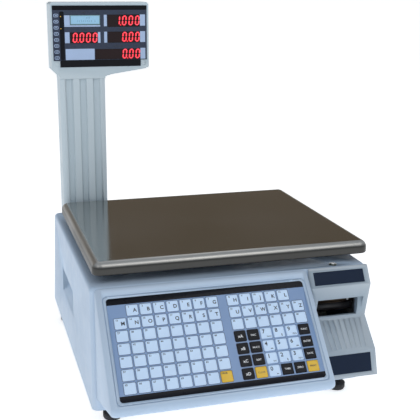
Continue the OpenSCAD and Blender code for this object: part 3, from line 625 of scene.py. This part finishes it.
CARD_CORE = 12.6 * MM  # radius that takes in the label roll's card core
PLATEN_SHAFT = 2.6 * MM  # radius that takes in the platen's steel shaft
BOARD_TOP = 9.7 * MM  # height of the main board's top face over the node's foot
HEAD_FOOT = 300 * MM  # height that parts the base's screws from the display head's plugs
BUBBLE_RADIUS = 2.3 * MM
BUBBLE_DEPTH = 0.6 * MM  # depth of the bubble's middle under the vial's top
BUBBLE_FLAT = 0.55  # height of the bubble over its width


class SCALE_OT_carried_parts(ScaleOperator, bpy.types.Operator):
    """Gives the shells and every inner part its own finish"""

    bl_idname = "scale.carried_parts"
    bl_label = "Shells and inner parts"

    def execute(self, context):
        green, dark = board_green("circuit_board"), black_plastic()
        plain = {
            "housing": body_plastic(),
            "console_shell": body_plastic(),
            "column_front": shell_plastic(),
            "column_rear": shell_plastic(),
            "display_bezel": shell_plastic(),
            "display_rear_shell": shell_plastic(),
            "printer_door": body_plastic(),
            "base_tray": zinc_sheet(),
            "keyboard_backplate": metal("keyboard_plate", (0.42, 0.44, 0.44), 0.4),
            "door_hinge_pin": bright_steel(),
            "printer_chassis": zinc_sheet(),
            "platen_gear": moulded("nylon", (0.78, 0.76, 0.68), 0.4),
            "feed_motor": metal("motor_can", (0.24, 0.25, 0.26), 0.35),
            "motor_pinion": metal("pinion_brass", (0.62, 0.44, 0.16), 0.3),
            "takeup_spool": dark,
            "load_cell_pedestal": cast_aluminium(),
            "load_cell": metal("load_cell_aluminium", (0.70, 0.71, 0.72), 0.3),
            "load_cell_bolts": metal("black_bolts", (0.03, 0.03, 0.033), 0.4),
            "platter_spider": cast_aluminium(),
            "platter_buffers": rubbery("buffer_rubber", colours().rubber),
            "power_supply": zinc_sheet(),
            "column_mast": zinc_sheet(),
            "digit_modules": dark_window("smoked_window"),
            "display_board": green,
            "power_rocker": moulded("rocker_black", (0.02, 0.02, 0.022), 0.25),
            "data_ports": dark,
            "spirit_level": vial_glass("vial"),
        }
        for node, material in plain.items():
            finished(node, [material])
        for corner in ("front_left", "front_right", "rear_left", "rear_right"):
            finished("foot_" + corner, [rubbery("foot_rubber", colours().rubber)])
        self.two_tone(green, dark)
        self.bubble()
        return {"FINISHED"}

    def two_tone(self, green, dark):
        """Parts whose second finish covers only some of their faces."""
        steel = bright_steel()
        zones = {
            "label_roll": (
                [wound_paper("label_paper"), moulded("card_core", (0.42, 0.30, 0.18), 0.7)],
                within_radius("label_roll", CARD_CORE),
            ),
            "platen_roller": (
                [rubbery("platen_rubber", colours().rubber, 0.42), steel],
                within_radius("platen_roller", PLATEN_SHAFT),
            ),
            "print_head": ([metal("heater_brown", (0.060, 0.042, 0.030), 0.34), steel], head_bracket),
            "main_board": ([green, dark], lambda c: c.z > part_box("main_board")[0].z + BOARD_TOP),
            "power_inlet": ([dark, steel], inlet_pin),
            "screws": ([steel, shell_plastic()], lambda c: c.z > HEAD_FOOT),
        }
        for node, (materials, second) in zones.items():
            o = finished(node, materials)
            for face in o.data.polygons:
                face.material_index = 1 if second(face.center) else 0

    def bubble(self):
        """The bubble of the level on the deck, painted near white: a painted highlight for the light that the
        air bubble catches.
        """
        low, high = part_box("spirit_level")
        bm = bmesh.new()
        place = Matrix.Translation(((low.x + high.x) / 2, (low.y + high.y) / 2, high.z - BUBBLE_DEPTH))
        bmesh.ops.create_uvsphere(bm, u_segments=20, v_segments=12, radius=BUBBLE_RADIUS, matrix=place)
        bmesh.ops.scale(bm, vec=(1, 1, BUBBLE_FLAT), verts=bm.verts, space=place.inverted())
        # Painted highlight: an opaque near-white film stands in for the light on the air bubble.
        white = film("bubble_white", (0.95, 0.97, 1.0), 0.1)
        o = new_object("level_bubble", mesh_of("level_bubble", bm, [white]))
        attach(o, BODY_OF["spirit_level"])


def within_radius(node, radius):
    """Tells whether a point lies that close to the node's axis, which runs along X."""
    low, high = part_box(node)
    middle = (low + high) / 2
    return lambda c: math.hypot(c.y - middle.y, c.z - middle.z) < radius


def head_bracket(c):
    """The print head's screws in front and its arms and pivot behind, as opposed to its brown bar."""
    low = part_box("print_head")[0]
    screw = c.y < low.y + 1.1 * MM and c.z > low.z + 1 * MM
    return screw or c.y > low.y + 23.3 * MM


def inlet_pin(c):
    """The three blades inside the mains inlet."""
    low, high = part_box("power_inlet")
    middle = (low + high) / 2
    for x, z in ((-7, -2), (0, 2), (7, -2)):
        if abs(c.x - middle.x - x * MM) < 1.1 * MM and abs(c.z - middle.z - z * MM) < 2.1 * MM:
            return c.y > low.y + 5 * MM
    return False


SHEET = 1.5 * MM  # thickness of the platter's steel
HEM = 0.6 * MM  # height of one fold of the hem under the skirt
ROLL_STEPS = 12  # facets round the rolled edge


class SCALE_OT_platter(ScaleOperator, bpy.types.Operator):
    """Builds the pressed steel platter with its rolled edge, skirt and hem"""

    bl_idname = "scale.platter"
    bl_label = "Platter"

    def execute(self, context):
        low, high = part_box("platter")
        centre = (low + high) / 2
        w, d = high.x - low.x, high.y - low.y
        top, foot = high.z, low.z
        roll, corner, sheet = sizes().platter_bullnose, sizes().platter_corner, SHEET

        def quarter(radius):
            """Round of the rolled edge from the top to the side, as (inset, height)."""
            angles = [math.pi / 2 * i / ROLL_STEPS for i in range(ROLL_STEPS + 1)]
            return [(roll - radius * math.sin(a), top - roll + radius * math.cos(a)) for a in angles]

        middle, shoulder = 60 * MM, 12 * MM  # insets at which the flat top is cut into rings
        profile = [(middle, top + 0.02 * MM), (shoulder, top + 0.01 * MM)] + quarter(roll)
        profile += [(0, foot + 2 * HEM), (0.2 * MM, foot + HEM), (0.6 * MM, foot)]
        profile += [(4.6 * MM, foot), (5 * MM, foot + HEM)]
        profile += [(4.6 * MM, foot + 2 * HEM), (sheet, foot + 2.2 * HEM)]
        profile += list(reversed(quarter(roll - sheet))) + [(shoulder, top - sheet), (middle, top - sheet)]
        loops = []
        for inset, z in profile:
            outline = rounded_outline(w - 2 * inset, d - 2 * inset, max(corner - inset, 2 * MM), 10)
            loops.append([(centre.x + x, centre.y + y, z) for x, y in outline])
        bm = bmesh.new()
        add_loops(bm, loops)
        steel = [
            brushed("platter_steel", colours().steel, 0.12),
            brushed("rolled_steel", colours().steel, 0.36, edge=True),
        ]
        # Faces under the flat top, round the rolled edge, skirt and hem, take the steel with painted shade on
        # what faces sideways.
        for face in bm.faces:
            face.material_index = 1 if face.calc_center_median().z < top - 0.1 * MM else 0
        carried(new_object("platter_pan", mesh_of("platter_pan", bm, steel, 40)), "platter")
        return {"FINISHED"}


# Places of the finishes in a key pad's material list
LIGHT, DARK, YELLOW, INK, LIGHT_INK, PAINTED_SHADOW = range(6)
KEY_GAP = 2.2 * MM  # pitch less key size
SUNK = -0.1 * MM  # how far printed and fixed pads reach into the film they stand on
KEY_PROFILE = [  # inset and height of an embossed key's edge above its foot
    (0.0, 0.10 * MM), (0.12 * MM, 0.42 * MM), (0.4 * MM, 0.68 * MM),
    (0.9 * MM, 0.8 * MM), (1.4 * MM, 0.78 * MM), (2.2 * MM, 0.74 * MM),
]
MOVING_FOOT = -0.9 * MM  # foot of a key that moves
NUMBER_LEVEL, LETTER_LEVEL, WORD_LEVEL = 0.77 * MM, 0.76 * MM, 0.75 * MM  # heights of the legends
WORD_SIZE = 3.1 * MM
BOLD = 0.05 * MM
HEAVY = 0.16 * MM
SECOND_WORDS = {"1": "End", "3": "PgDn", "7": "Home", "9": "PgUp", "0": "Ins"}
MOVING_WORDS = {
    "key_function": "FUNC", "key_enter": "ENTER", "key_date": "DATE",
    "key_point": "TARE", "key_zero_set": "ZERO", "key_print": "PRINT",
}
DARK_LEFT = {(3, 8): "xA", (4, 8): "xB", (5, 8): "xC", (6, 8): "xD"}
DARK_RIGHT = {(3, 9): "DISC", (4, 9): "MULTI", (5, 9): "EDIT"}
PAGE_KEY, CLEAR_KEY = (6, 7), (6, 9)


class SCALE_OT_keyboard(ScaleOperator, bpy.types.Operator):
    """Builds the membrane's printed film and every embossed key with its legend"""

    bl_idname = "scale.keyboard"
    bl_label = "Keyboard"

    def execute(self, context):
        c = colours()
        self.place = keyboard_place()
        self.finishes = [
            film("key_film_white", c.key_white, 0.32),
            film("key_film_black", c.key_black, 0.30, True),
            film("key_film_yellow", c.key_yellow, 0.32),
            film("key_ink_dark", c.ink, 0.4),
            film("key_ink_white", (0.75, 0.78, 0.82), 0.4),
            film("key_outline", c.outline, 0.4),
        ]
        self.key_w = sizes().key_pitch_x - KEY_GAP
        self.key_h = sizes().key_pitch_y - KEY_GAP
        self.membrane()
        self.presets()
        self.moving()
        return {"FINISHED"}

    def membrane(self):
        c = colours()
        h = membrane_size()[1]
        bm = welded("membrane_overlay")
        back = self.place.inverted()
        normal = self.place.to_3x3() @ Vector((0, 1, 0))
        lap = 0.4 * MM
        edges = (h / 2 - TOP_STRIP + lap, -h / 2 + BOTTOM_STRIP - lap)
        for y in edges:
            bmesh.ops.bisect_plane(
                bm, geom=bm.verts[:] + bm.edges[:] + bm.faces[:], dist=1e-7,
                plane_co=self.place @ Vector((0, y, 0)), plane_no=normal,
            )
        for f in bm.faces:
            y = (back @ f.calc_center_median()).y
            f.material_index = 1 if y > edges[0] or y < edges[1] else 0
        finishes = [film("key_field", c.key_field, 0.36), film("key_strip", c.strip, 0.3, True)]
        carried(new_object("membrane_film", mesh_of("membrane_film", bm, finishes, 30)), "membrane_overlay")

    def pad(self, bm, centre, foot, finish):
        levels = [(0.0, foot)] + KEY_PROFILE
        add_pad(bm, centre, self.key_w, self.key_h, sizes().key_corner, levels, finish, self.place)

    def outline(self, bm, centre):
        """Painted shadow round a preset key: a dark band on the film under it, for the shadow of the key's
        embossed edge.
        """
        w, h, r = self.key_w + 1.1 * MM, self.key_h + 1.1 * MM, sizes().key_corner + 0.5 * MM
        add_pad(bm, centre, w, h, r, [(0, SUNK), (0, 0.03 * MM)], PAINTED_SHADOW, self.place)

    def legend(self, bm, centre, text, size, ink, bold, dx=0.0, dy=0.0, level=WORD_LEVEL):
        """Prints text on a key, dx and dy millimetres from the key's middle."""
        at = Matrix.Translation((centre[0] + dx * MM, centre[1] + dy * MM, level))
        add_text(bm, text, size, self.place @ at, ink, bold)

    def number(self, bm, centre, text, dx=-3.8):
        self.legend(bm, centre, text, WORD_SIZE, INK, 0.06 * MM, dx, 4.0, NUMBER_LEVEL)

    def presets(self):
        letters = {(0, column): "ABCDEFG"[column - 1] for column in range(1, 8)}
        letters.update({(0, column): "HIJKL"[column - 8] for column in range(8, 13)})
        letters.update({(1, column): "MNOPQRST"[column] for column in range(8)})
        letters.update({(1, column): "UVWXYZ"[column - 8] for column in range(8, 14)})
        numbers = self.preset_numbers()
        bm = bmesh.new()
        for spot in [(row, column) for row in range(ROWS) for column in range(COLUMNS)]:
            row, column = spot
            corner = row == 0 and column in (0, COLUMNS - 1)
            moving = column >= FIRST_MOVING_COLUMN and row >= FIRST_MOVING_ROW
            if corner or moving:
                continue
            dark = spot in DARK_LEFT or spot in DARK_RIGHT
            yellow = spot in (PAGE_KEY, CLEAR_KEY)
            centre = key_centre(column, row)
            # painted shadow round the key
            self.outline(bm, centre)
            self.pad(bm, centre, SUNK, DARK if dark else YELLOW if yellow else LIGHT)
            if spot in numbers:
                self.number(bm, centre, str(numbers[spot]))
            if spot in letters:
                self.legend(bm, centre, letters[spot], 6.4 * MM, INK, HEAVY, 3.0, -0.6, LETTER_LEVEL)
            elif spot in DARK_LEFT:
                self.legend(bm, centre, DARK_LEFT[spot], 5.2 * MM, LIGHT_INK, 0.1 * MM, 0, -0.5)
            elif spot in DARK_RIGHT:
                self.legend(bm, centre, DARK_RIGHT[spot], WORD_SIZE, LIGHT_INK, BOLD, 0, -0.5)
            elif spot == CLEAR_KEY:
                self.legend(bm, centre, "CLEAR", 3.0 * MM, INK, 0.0, 0, -0.5)
            elif spot == PAGE_KEY:
                self.number(bm, centre, "PAGE", -2.4)
        mesh = mesh_of("preset_key_pads", bm, self.finishes, 50)
        carried(new_object("preset_key_pads", mesh), "preset_keys")

    def preset_numbers(self):
        """Preset numbers: A to Z are 1 to 26 over the first two rows, and the rows below count on."""
        order = [(0, c) for c in range(1, 13)] + [(1, c) for c in range(14)]
        order += [(2, c) for c in range(14)] + [(r, c) for r in (3, 4, 5) for c in range(8)]
        order += [(6, c) for c in range(7)]
        return {spot: i + 1 for i, spot in enumerate(order)}

    def second_legend(self, bm, digit, centre):
        """The small word or arrow in the lower right corner of a digit key."""
        dx, dy = 3.0, -4.1
        if digit in SECOND_WORDS:
            self.legend(bm, centre, SECOND_WORDS[digit], 2.4 * MM, INK, 0.04 * MM, dx, dy, LETTER_LEVEL)
        elif digit != "5":
            w, h = (3 * MM, 1 * MM) if digit in "46" else (1 * MM, 3 * MM)
            spot = (centre[0] + dx * MM, centre[1] + dy * MM)
            add_pad(bm, spot, w, h, LEAST_CORNER, [(0, 0.7 * MM), (0, 0.8 * MM)], INK, self.place, 2)

    def moving(self):
        for i, node in enumerate(MOVING_KEYS):
            centre = key_centre(FIRST_MOVING_COLUMN + i % 4, FIRST_MOVING_ROW + i // 4)
            bm = bmesh.new()
            word, digit = MOVING_WORDS.get(node), node[-1]
            finish = LIGHT if word is None else YELLOW if node == "key_print" else DARK
            self.pad(bm, centre, MOVING_FOOT, finish)
            if word:
                ink = INK if finish == YELLOW else LIGHT_INK
                self.legend(bm, centre, word, WORD_SIZE, ink, BOLD)
            else:
                self.legend(bm, centre, digit, 6.8 * MM, INK, HEAVY, -3.2, 2.2, LETTER_LEVEL)
                self.second_legend(bm, digit, centre)
            carried(new_object(node + "_pad", mesh_of(node, bm, self.finishes, 50)), node)


# Display, in millimetres
DIGIT_W = 5.0  # between the middles of a digit's upright strokes
DIGIT_H = 12.4  # between the middles of its top and bottom strokes
DIGIT_PITCH = 9.9
STROKE = 2.2
CORE = 0.28  # width of a stroke's bright core over the stroke's width
ROWS_SHOWN = (  # text, then right end and top of its last digit from the film's top left corner
    ("1.000", 129.2, 15.6), ("0.000", 64.6, 40.2), ("0.00", 129.2, 39.6), ("0.00", 129.4, 64.6),
)
SEGMENTS = {
    "0": "abcdef", "1": "bc", "2": "abged", "3": "abgcd", "4": "fgbc",
    "5": "afgcd", "6": "afgedc", "7": "abc", "8": "abcdefg", "9": "abcdfg",
}
WINDOWS = (  # left, top, width and height from the film's top left corner, as the CAD frame has them
    (25.9, 13.4, 45, 14.5), (81.8, 13.1, 49, 18), (25.6, 38.5, 41, 16), (81.8, 37.9, 49, 16.4),
    (62.3, 63.3, 69, 15.4),
)
NOTCH = 9.5  # square left free in the film's two lower corners
BLACK_BANDS = (  # left, top, width, height and corner radius
    (0.2, 0.2, 141.1, 6.2, 1.8), (10.0, 79.2, 121.5, 10.0, 1.6), (10.6, 8.4, 6.4, 70.6, 1.9),
)
PALE_BLOCKS = (  # left, top, width and height
    (17.4, 14.0, 8.3, 14.1), (17.4, 28.2, 53.4, 2.2), (17.8, 38.2, 6.8, 15.9), (67.0, 38.4, 3.7, 15.8),
    (76.4, 13.4, 4.4, 16.6), (76.4, 38.0, 4.4, 16.0), (131.2, 13.2, 7.9, 16.4), (131.2, 37.8, 7.9, 16.0),
    (18.2, 62.6, 43.2, 16.2), (131.6, 62.6, 7.6, 16.2),
)
CAPTIONS = (  # text and its middle
    ("WEIGHT kg", 104, 10.2), ("TARE kg", 46, 35.0), ("UNIT PRICE", 104, 34.6),
    ("TOTAL PRICE", 97, 59.6), ("ITEM", 46, 10.4),
)
LCD = (26.2, 13.8, 44.4, 13.6)  # left, top, width and height
# Places of the finishes in the display print's material list
BLACK, PALE, LCD_RIM, LCD_GLASS, LCD_INK, AMBER, CAPTION = range(7)


class SCALE_OT_display(ScaleOperator, bpy.types.Operator):
    """Builds the printed display film, its windows and the lit digits, on both sides of the head"""

    bl_idname = "scale.display"
    bl_label = "Display"

    def execute(self, context):
        low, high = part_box("display_panel")
        front = Matrix.Translation((low.x, low.y, high.z)) @ Matrix.Rotation(math.pi / 2, 4, "X")
        low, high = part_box("customer_panel")
        back = Matrix.Translation((high.x, high.y, high.z)) @ Matrix.Rotation(math.pi, 4, "Z")
        back = back @ Matrix.Rotation(math.pi / 2, 4, "X")
        self.side("display_panel", front)
        self.side("customer_panel", back)
        return {"FINISHED"}

    def film_plate(self, node, place):
        """The film's plate: a grid of cells without its windows and lower corners."""
        low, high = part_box(node)
        w, h, thick = (high.x - low.x) / MM, (high.z - low.z) / MM, high.y - low.y
        holes = WINDOWS + ((0, h - NOTCH, NOTCH, NOTCH), (w - NOTCH, h - NOTCH, NOTCH, NOTCH))
        xs = sorted({0, w, *[x for x, _, _, _ in holes], *[x + a for x, _, a, _ in holes]})
        ys = sorted({0, h, *[y for _, y, _, _ in holes], *[y + b for _, y, _, b in holes]})

        def filled(i, j):
            if not (0 <= i < len(xs) - 1 and 0 <= j < len(ys) - 1):
                return False
            x, y = (xs[i] + xs[i + 1]) / 2, (ys[j] + ys[j + 1]) / 2
            return not any(a < x < a + c and b < y < b + d for a, b, c, d in holes)

        bm = bmesh.new()
        corners = {}

        def corner(i, j, z):
            if (i, j, z) not in corners:
                corners[i, j, z] = bm.verts.new(place @ Vector((xs[i] * MM, -ys[j] * MM, -thick * z)))
            return corners[i, j, z]

        for i in range(len(xs) - 1):
            for j in range(len(ys) - 1):
                if not filled(i, j):
                    continue
                ring = ((i, j), (i + 1, j), (i + 1, j + 1), (i, j + 1))
                for z in (0, 1):
                    bm.faces.new([corner(a, b, z) for a, b in ring])
                beyond = ((i, j - 1), (i + 1, j), (i, j + 1), (i - 1, j))
                for k, (a, b) in enumerate(beyond):
                    if not filled(a, b):
                        p, q = ring[k], ring[(k + 1) % 4]
                        bm.faces.new([corner(*p, 0), corner(*q, 0), corner(*q, 1), corner(*p, 1)])
        finish = film("display_slate", colours().panel, 0.28, True)
        carried(new_object(node + "_film", mesh_of(node + "_film", bm, [finish])), node)

    def side(self, node, place):
        """place puts x right, y up and z outwards, with its origin at the film's top left corner."""
        c = colours()
        self.film_plate(node, place)
        finishes = [
            film("display_black", c.panel_dark, 0.22, True), film("display_pale", c.panel_pale, 0.35),
            film("lcd_bezel", (0.16, 0.30, 0.36), 0.3),
            glowing("lcd_glass", (0.25, 0.47, 0.66), 0.5), film("lcd_dots", (0.06, 0.12, 0.22), 0.4),
            glowing("amber_lamp", (0.8, 0.45, 0.03), 0.5), film("caption_ink", c.caption, 0.35),
        ]
        bm = bmesh.new()

        def patch(x, y, w, h, r, finish, lift=0.0):
            levels = [(0, SUNK + lift), (0, 0.08 * MM + lift)]
            centre = ((x + w / 2) * MM, -(y + h / 2) * MM)
            add_pad(bm, centre, w * MM, h * MM, r * MM, levels, finish, place, 4)

        for band in BLACK_BANDS:
            patch(*band, BLACK)
        for block in PALE_BLOCKS:
            patch(*block, 0.35, PALE)
        for i in range(sizes().lamp_labels):
            self.lamp_label(bm, place, 5.3, 14.1 + i * 8.77)
        for y in (15.0, 32.4):
            patch(11.6, y, 1.3, 1.3, 0.6, AMBER, 0.1 * MM)
        for text, x, y in CAPTIONS:
            at = Matrix.Translation((x * MM, -y * MM, 0.04 * MM))
            add_text(bm, text, 2.6 * MM, place @ at, CAPTION, BOLD)
        self.fixed(node, "_print", bm, finishes, "display_film")
        self.lcd(node, place, finishes)
        self.digits(node, place)

    def fixed(self, node, ending, bm, finishes, slot):
        """Adds a piece that sits on the node's body and takes no CAD node's place."""
        o = new_object(node + ending, mesh_of(node + ending, bm, finishes, 50))
        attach(o, BODY_OF[node])

    def lamp_label(self, bm, place, x, y):
        """A printed oval ring, x and y at its middle, beside an indicator lamp."""
        w, h, r, ring = 7.2 * MM, 4.7 * MM, 2.2 * MM, 0.8 * MM
        centre = (x * MM, -y * MM)
        add_pad(bm, centre, w, h, r, [(0, SUNK), (0, 0.08 * MM)], PALE, place, 6)
        levels = [(0, 0), (0, 0.12 * MM)]
        add_pad(bm, centre, w - 2 * ring, h - 2 * ring, r - ring, levels, BLACK, place, 6)
        levels = [(0, 0.1 * MM), (0, 0.15 * MM)]
        add_pad(bm, centre, w * 0.46, h * 0.24, 0.3 * MM, levels, PALE, place, 3)

    def lcd(self, node, place, finishes):
        """The character display: rim, glass, and two lines of small marks."""
        left, top, w, h = LCD
        bm = bmesh.new()
        centre = ((left + w / 2) * MM, -(top + h / 2) * MM)
        rim = [(0, -0.6 * MM), (0, 0.3 * MM), (0.4 * MM, 0.5 * MM)]
        add_pad(bm, centre, w * MM, h * MM, 0.5 * MM, rim, LCD_RIM, place, 3)
        glass = [(0, 0), (0, 0.58 * MM)]
        add_pad(bm, centre, (w - 2.4) * MM, (h - 2.4) * MM, 0.4 * MM, glass, LCD_GLASS, place, 3)
        mark = [(0, 0.5 * MM), (0, 0.64 * MM)]
        rng = random.Random(7)
        for row, count in ((0, 3), (1, 11)):
            for i in range(count):
                x = (24.5 + i * 2.1) if row == 0 else (8.0 + i * 2.9)
                y = 3.6 + row * 5.0
                if rng.random() < 0.2 and row:
                    continue
                spot = ((left + x) * MM, -(top + y) * MM)
                for k in range(3):
                    part = (spot[0] + rng.uniform(-0.4, 0.4) * MM, spot[1] + (k - 1) * 0.9 * MM)
                    wide = rng.uniform(0.7, 1.5) * MM
                    add_pad(bm, part, wide, 0.38 * MM, 0.1 * MM, mark, LCD_INK, place, 2)
        self.fixed(node, "_lcd", bm, finishes, "display_film")

    def digits(self, node, place):
        """Lit seven-segment numbers on the modules behind the film's windows."""
        finishes = [
            glowing("lit_segment", colours().led, 1.1), glowing("lit_core", (1.0, 0.11, 0.16), 1.1),
        ]
        bm = bmesh.new()
        for text, right, top in ROWS_SHOWN:
            self.number(bm, place, text, right, top)
        self.fixed(node, "_digits", bm, finishes, "digit_resin")

    def number(self, bm, place, text, right, top):
        """Digits from the right; right and top are the middle of the last digit's outer strokes."""
        digits = text.replace(".", "")
        point = text.find(".")
        for i, ch in enumerate(digits):
            x = right - DIGIT_W - (len(digits) - 1 - i) * DIGIT_PITCH
            self.digit(bm, place, x, top, SEGMENTS[ch])
            if i == point - 1:
                spot = ((x + DIGIT_W + 2.2) * MM, -(top + DIGIT_H + 0.2) * MM)
                levels = [(0, -0.5 * MM), (0, -0.2 * MM)]
                add_pad(bm, spot, 2 * MM, 2 * MM, 0.7 * MM, levels, 0, place, 3)

    def digit(self, bm, place, x, top, lit):
        """One digit: its lit strokes, each with a brighter core."""
        w, h, half = DIGIT_W, DIGIT_H, DIGIT_H / 2
        lines = {
            "a": ((0, 0), (w, 0)), "g": ((0, half), (w, half)), "d": ((0, h), (w, h)),
            "f": ((0, 0), (0, half)), "b": ((w, 0), (w, half)), "e": ((0, half), (0, h)),
            "c": ((w, half), (w, h)),
        }
        lean = math.tan(sizes().digit_slant)
        for name in lit:
            p, q = lines[name]
            for width, finish, lift in ((STROKE, 0, -0.2 * MM), (STROKE * CORE, 1, -0.12 * MM)):
                self.segment(bm, place, x, top, h, p, q, width, lean, finish, lift)

    def segment(self, bm, place, x, top, height, p, q, t, lean, finish, lift):
        """One stroke of width t from p to q, with pointed ends."""
        a, b = Vector(p), Vector(q)
        run = (b - a).normalized()
        side = Vector((-run.y, run.x)) * t / 2
        gap = run * 0.25  # space left at each end
        a, b = a + gap, b - gap
        tip = run * (t / 2)
        outline = [a, a + tip + side, b - tip + side, b, b - tip - side, a + tip - side]
        loops = []
        for z in (lift - 0.3 * MM, lift):
            leant = [(x + v.x + (height - v.y) * lean, -(top + v.y)) for v in outline]
            loops.append([place @ Vector((a * MM, b * MM, z)) for a, b in leant])
        add_loops(bm, loops, finish)


class SCALE_OT_printer_front(ScaleOperator, bpy.types.Operator):
    """Builds the printer's front with its soft edges, label slot, ribs and dark panels"""

    bl_idname = "scale.printer_front"
    bl_label = "Printer front"

    def execute(self, context):
        finished("printer_fascia", [fascia_plastic()], 30, "printer_front")
        finished("printer_label_panels", [film("printer_navy", colours().navy, 0.5, True)])
        return {"FINISHED"}


class SCALE_OT_stage(ScaleOperator, bpy.types.Operator):
    """Makes the floor, the studio lights and the camera"""

    bl_idname = "scale.stage"
    bl_label = "Stage"

    def execute(self, context):
        self.floor()
        self.sky()
        self.lights()
        self.camera()
        context.scene.view_settings.view_transform = "Standard"
        return {"FINISHED"}

    def floor(self):
        """A wide white floor that gives off a little light, so that it stays white far away."""
        bm = bmesh.new()
        bmesh.ops.create_grid(bm, x_segments=8, y_segments=8, size=150)
        finish = Finish("studio_floor", (0.93, 0.93, 0.93), 0.7)
        finish.tint(finish.noise(0.7, 2), 0.99, 1.01)
        finish.shader.inputs["Emission Color"].default_value = (1, 1, 1, 1)
        finish.shader.inputs["Emission Strength"].default_value = 0.62
        o = new_object("studio_floor", mesh_of("studio_floor", bm, [finish.material]))
        o.location.z = -0.5 * MM

    def sky(self):
        """Soft pale light from all round, with one darker patch behind the scale that the platter mirrors."""
        world = bpy.data.worlds.new("studio")
        bpy.context.scene.world = world
        world.use_nodes = True
        nodes, links = world.node_tree.nodes, world.node_tree.links
        parts = nodes.new("ShaderNodeSeparateXYZ")
        links.new(nodes.new("ShaderNodeTexCoord").outputs["Generated"], parts.inputs["Vector"])

        def ramp(source, low, high):
            node = nodes.new("ShaderNodeMapRange")
            node.interpolation_type = "SMOOTHSTEP"
            node.inputs["From Min"].default_value = low
            node.inputs["From Max"].default_value = high
            links.new(source, node.inputs["Value"])
            return node.outputs["Result"]

        def mix(factor, a, b):
            node = nodes.new("ShaderNodeMix")
            node.data_type = "RGBA"
            links.new(factor, node.inputs[0])
            for socket, value in ((node.inputs[6], a), (node.inputs[7], b)):
                if isinstance(value, tuple):
                    socket.default_value = (*value, 1)
                else:
                    links.new(value, socket)
            return node.outputs[2]

        pale, dark = (0.84, 0.89, 0.96), (0.29, 0.235, 0.175)
        horizon = (1.7, 1.7, 1.7)  # as bright as the floor, so that no line shows where they meet
        above = mix(ramp(parts.outputs["Z"], 0.40, 0.75), dark, pale)
        behind = mix(ramp(parts.outputs["Y"], 0.45, 0.75), pale, above)
        whole = mix(ramp(parts.outputs["Z"], 0.09, 0.17), horizon, behind)
        links.new(whole, nodes["Background"].inputs["Color"])
        nodes["Background"].inputs["Strength"].default_value = 0.52

    def lights(self):
        """Three soft area lights; power is in watts and size in metres."""
        for name, at, aim, size, power, tone in (
            ("key_light", (-1.7, -1.1, 1.8), (0, 0, 0.15), 1.2, 4, (1.0, 0.98, 0.95)),
            ("fill_light", (0.7, -1.7, 2.1), (0, 0, 0.15), 1.4, 13, (1.0, 0.98, 0.95)),
            ("back_light", (0.3, 2.0, 2.0), (0, 0, 0.2), 1.6, 5, (0.95, 0.97, 1.0)),
        ):
            lamp = bpy.data.lights.new(name, "AREA")
            lamp.size = size
            lamp.energy = power
            lamp.color = tone
            o = new_object(name, lamp)
            o.location = at
            o.rotation_euler = (Vector(aim) - Vector(at)).to_track_quat("-Z", "Y").to_euler()

    def camera(self):
        """A camera in front of the scale, a little to its left and above it."""
        data = bpy.data.cameras.new("camera")
        data.sensor_width = 36
        data.lens = 69.75
        data.shift_x = 0.0660
        data.shift_y = -0.0034
        data.clip_start, data.clip_end = 0.05, 60
        o = new_object("camera", data)
        o.location = (-0.3208, -1.0591, 0.5271)
        forward = Vector((0.2563, 0.9304, -0.2622))
        roll = Matrix.Rotation(math.radians(0.2), 4, "Z")
        o.rotation_euler = (forward.to_track_quat("-Z", "Y").to_matrix().to_4x4() @ roll).to_euler()
        bpy.context.scene.camera = o


class SCALE_PT_panel(bpy.types.Panel):
    bl_idname = "SCALE_PT_panel"
    bl_label = "Retail price scale"
    bl_space_type = "VIEW_3D"
    bl_region_type = "UI"
    bl_category = "Scale"

    def draw(self, context):
        for operator in OPERATORS:
            self.layout.operator(operator.bl_idname)
        for group in (context.scene.scale_sizes, context.scene.scale_colours):
            box = self.layout.box()
            for name in group.__annotations__:
                box.prop(group, name)


OPERATORS = (
    SCALE_OT_carried_parts, SCALE_OT_platter, SCALE_OT_keyboard,
    SCALE_OT_display, SCALE_OT_printer_front, SCALE_OT_stage,
)
CLASSES = (ScaleSizes, ScaleColours, *OPERATORS, SCALE_PT_panel)


def register():
    for c in CLASSES:
        bpy.utils.register_class(c)
    bpy.types.Scene.scale_sizes = PointerProperty(type=ScaleSizes)
    bpy.types.Scene.scale_colours = PointerProperty(type=ScaleColours)


def unregister():
    del bpy.types.Scene.scale_sizes
    del bpy.types.Scene.scale_colours
    for c in reversed(CLASSES):
        bpy.utils.unregister_class(c)


def main():
    register()
    for operator in OPERATORS:
        group, name = operator.bl_idname.split(".")
        getattr(getattr(bpy.ops, group), name)()


if __name__ == "__main__":
    main()
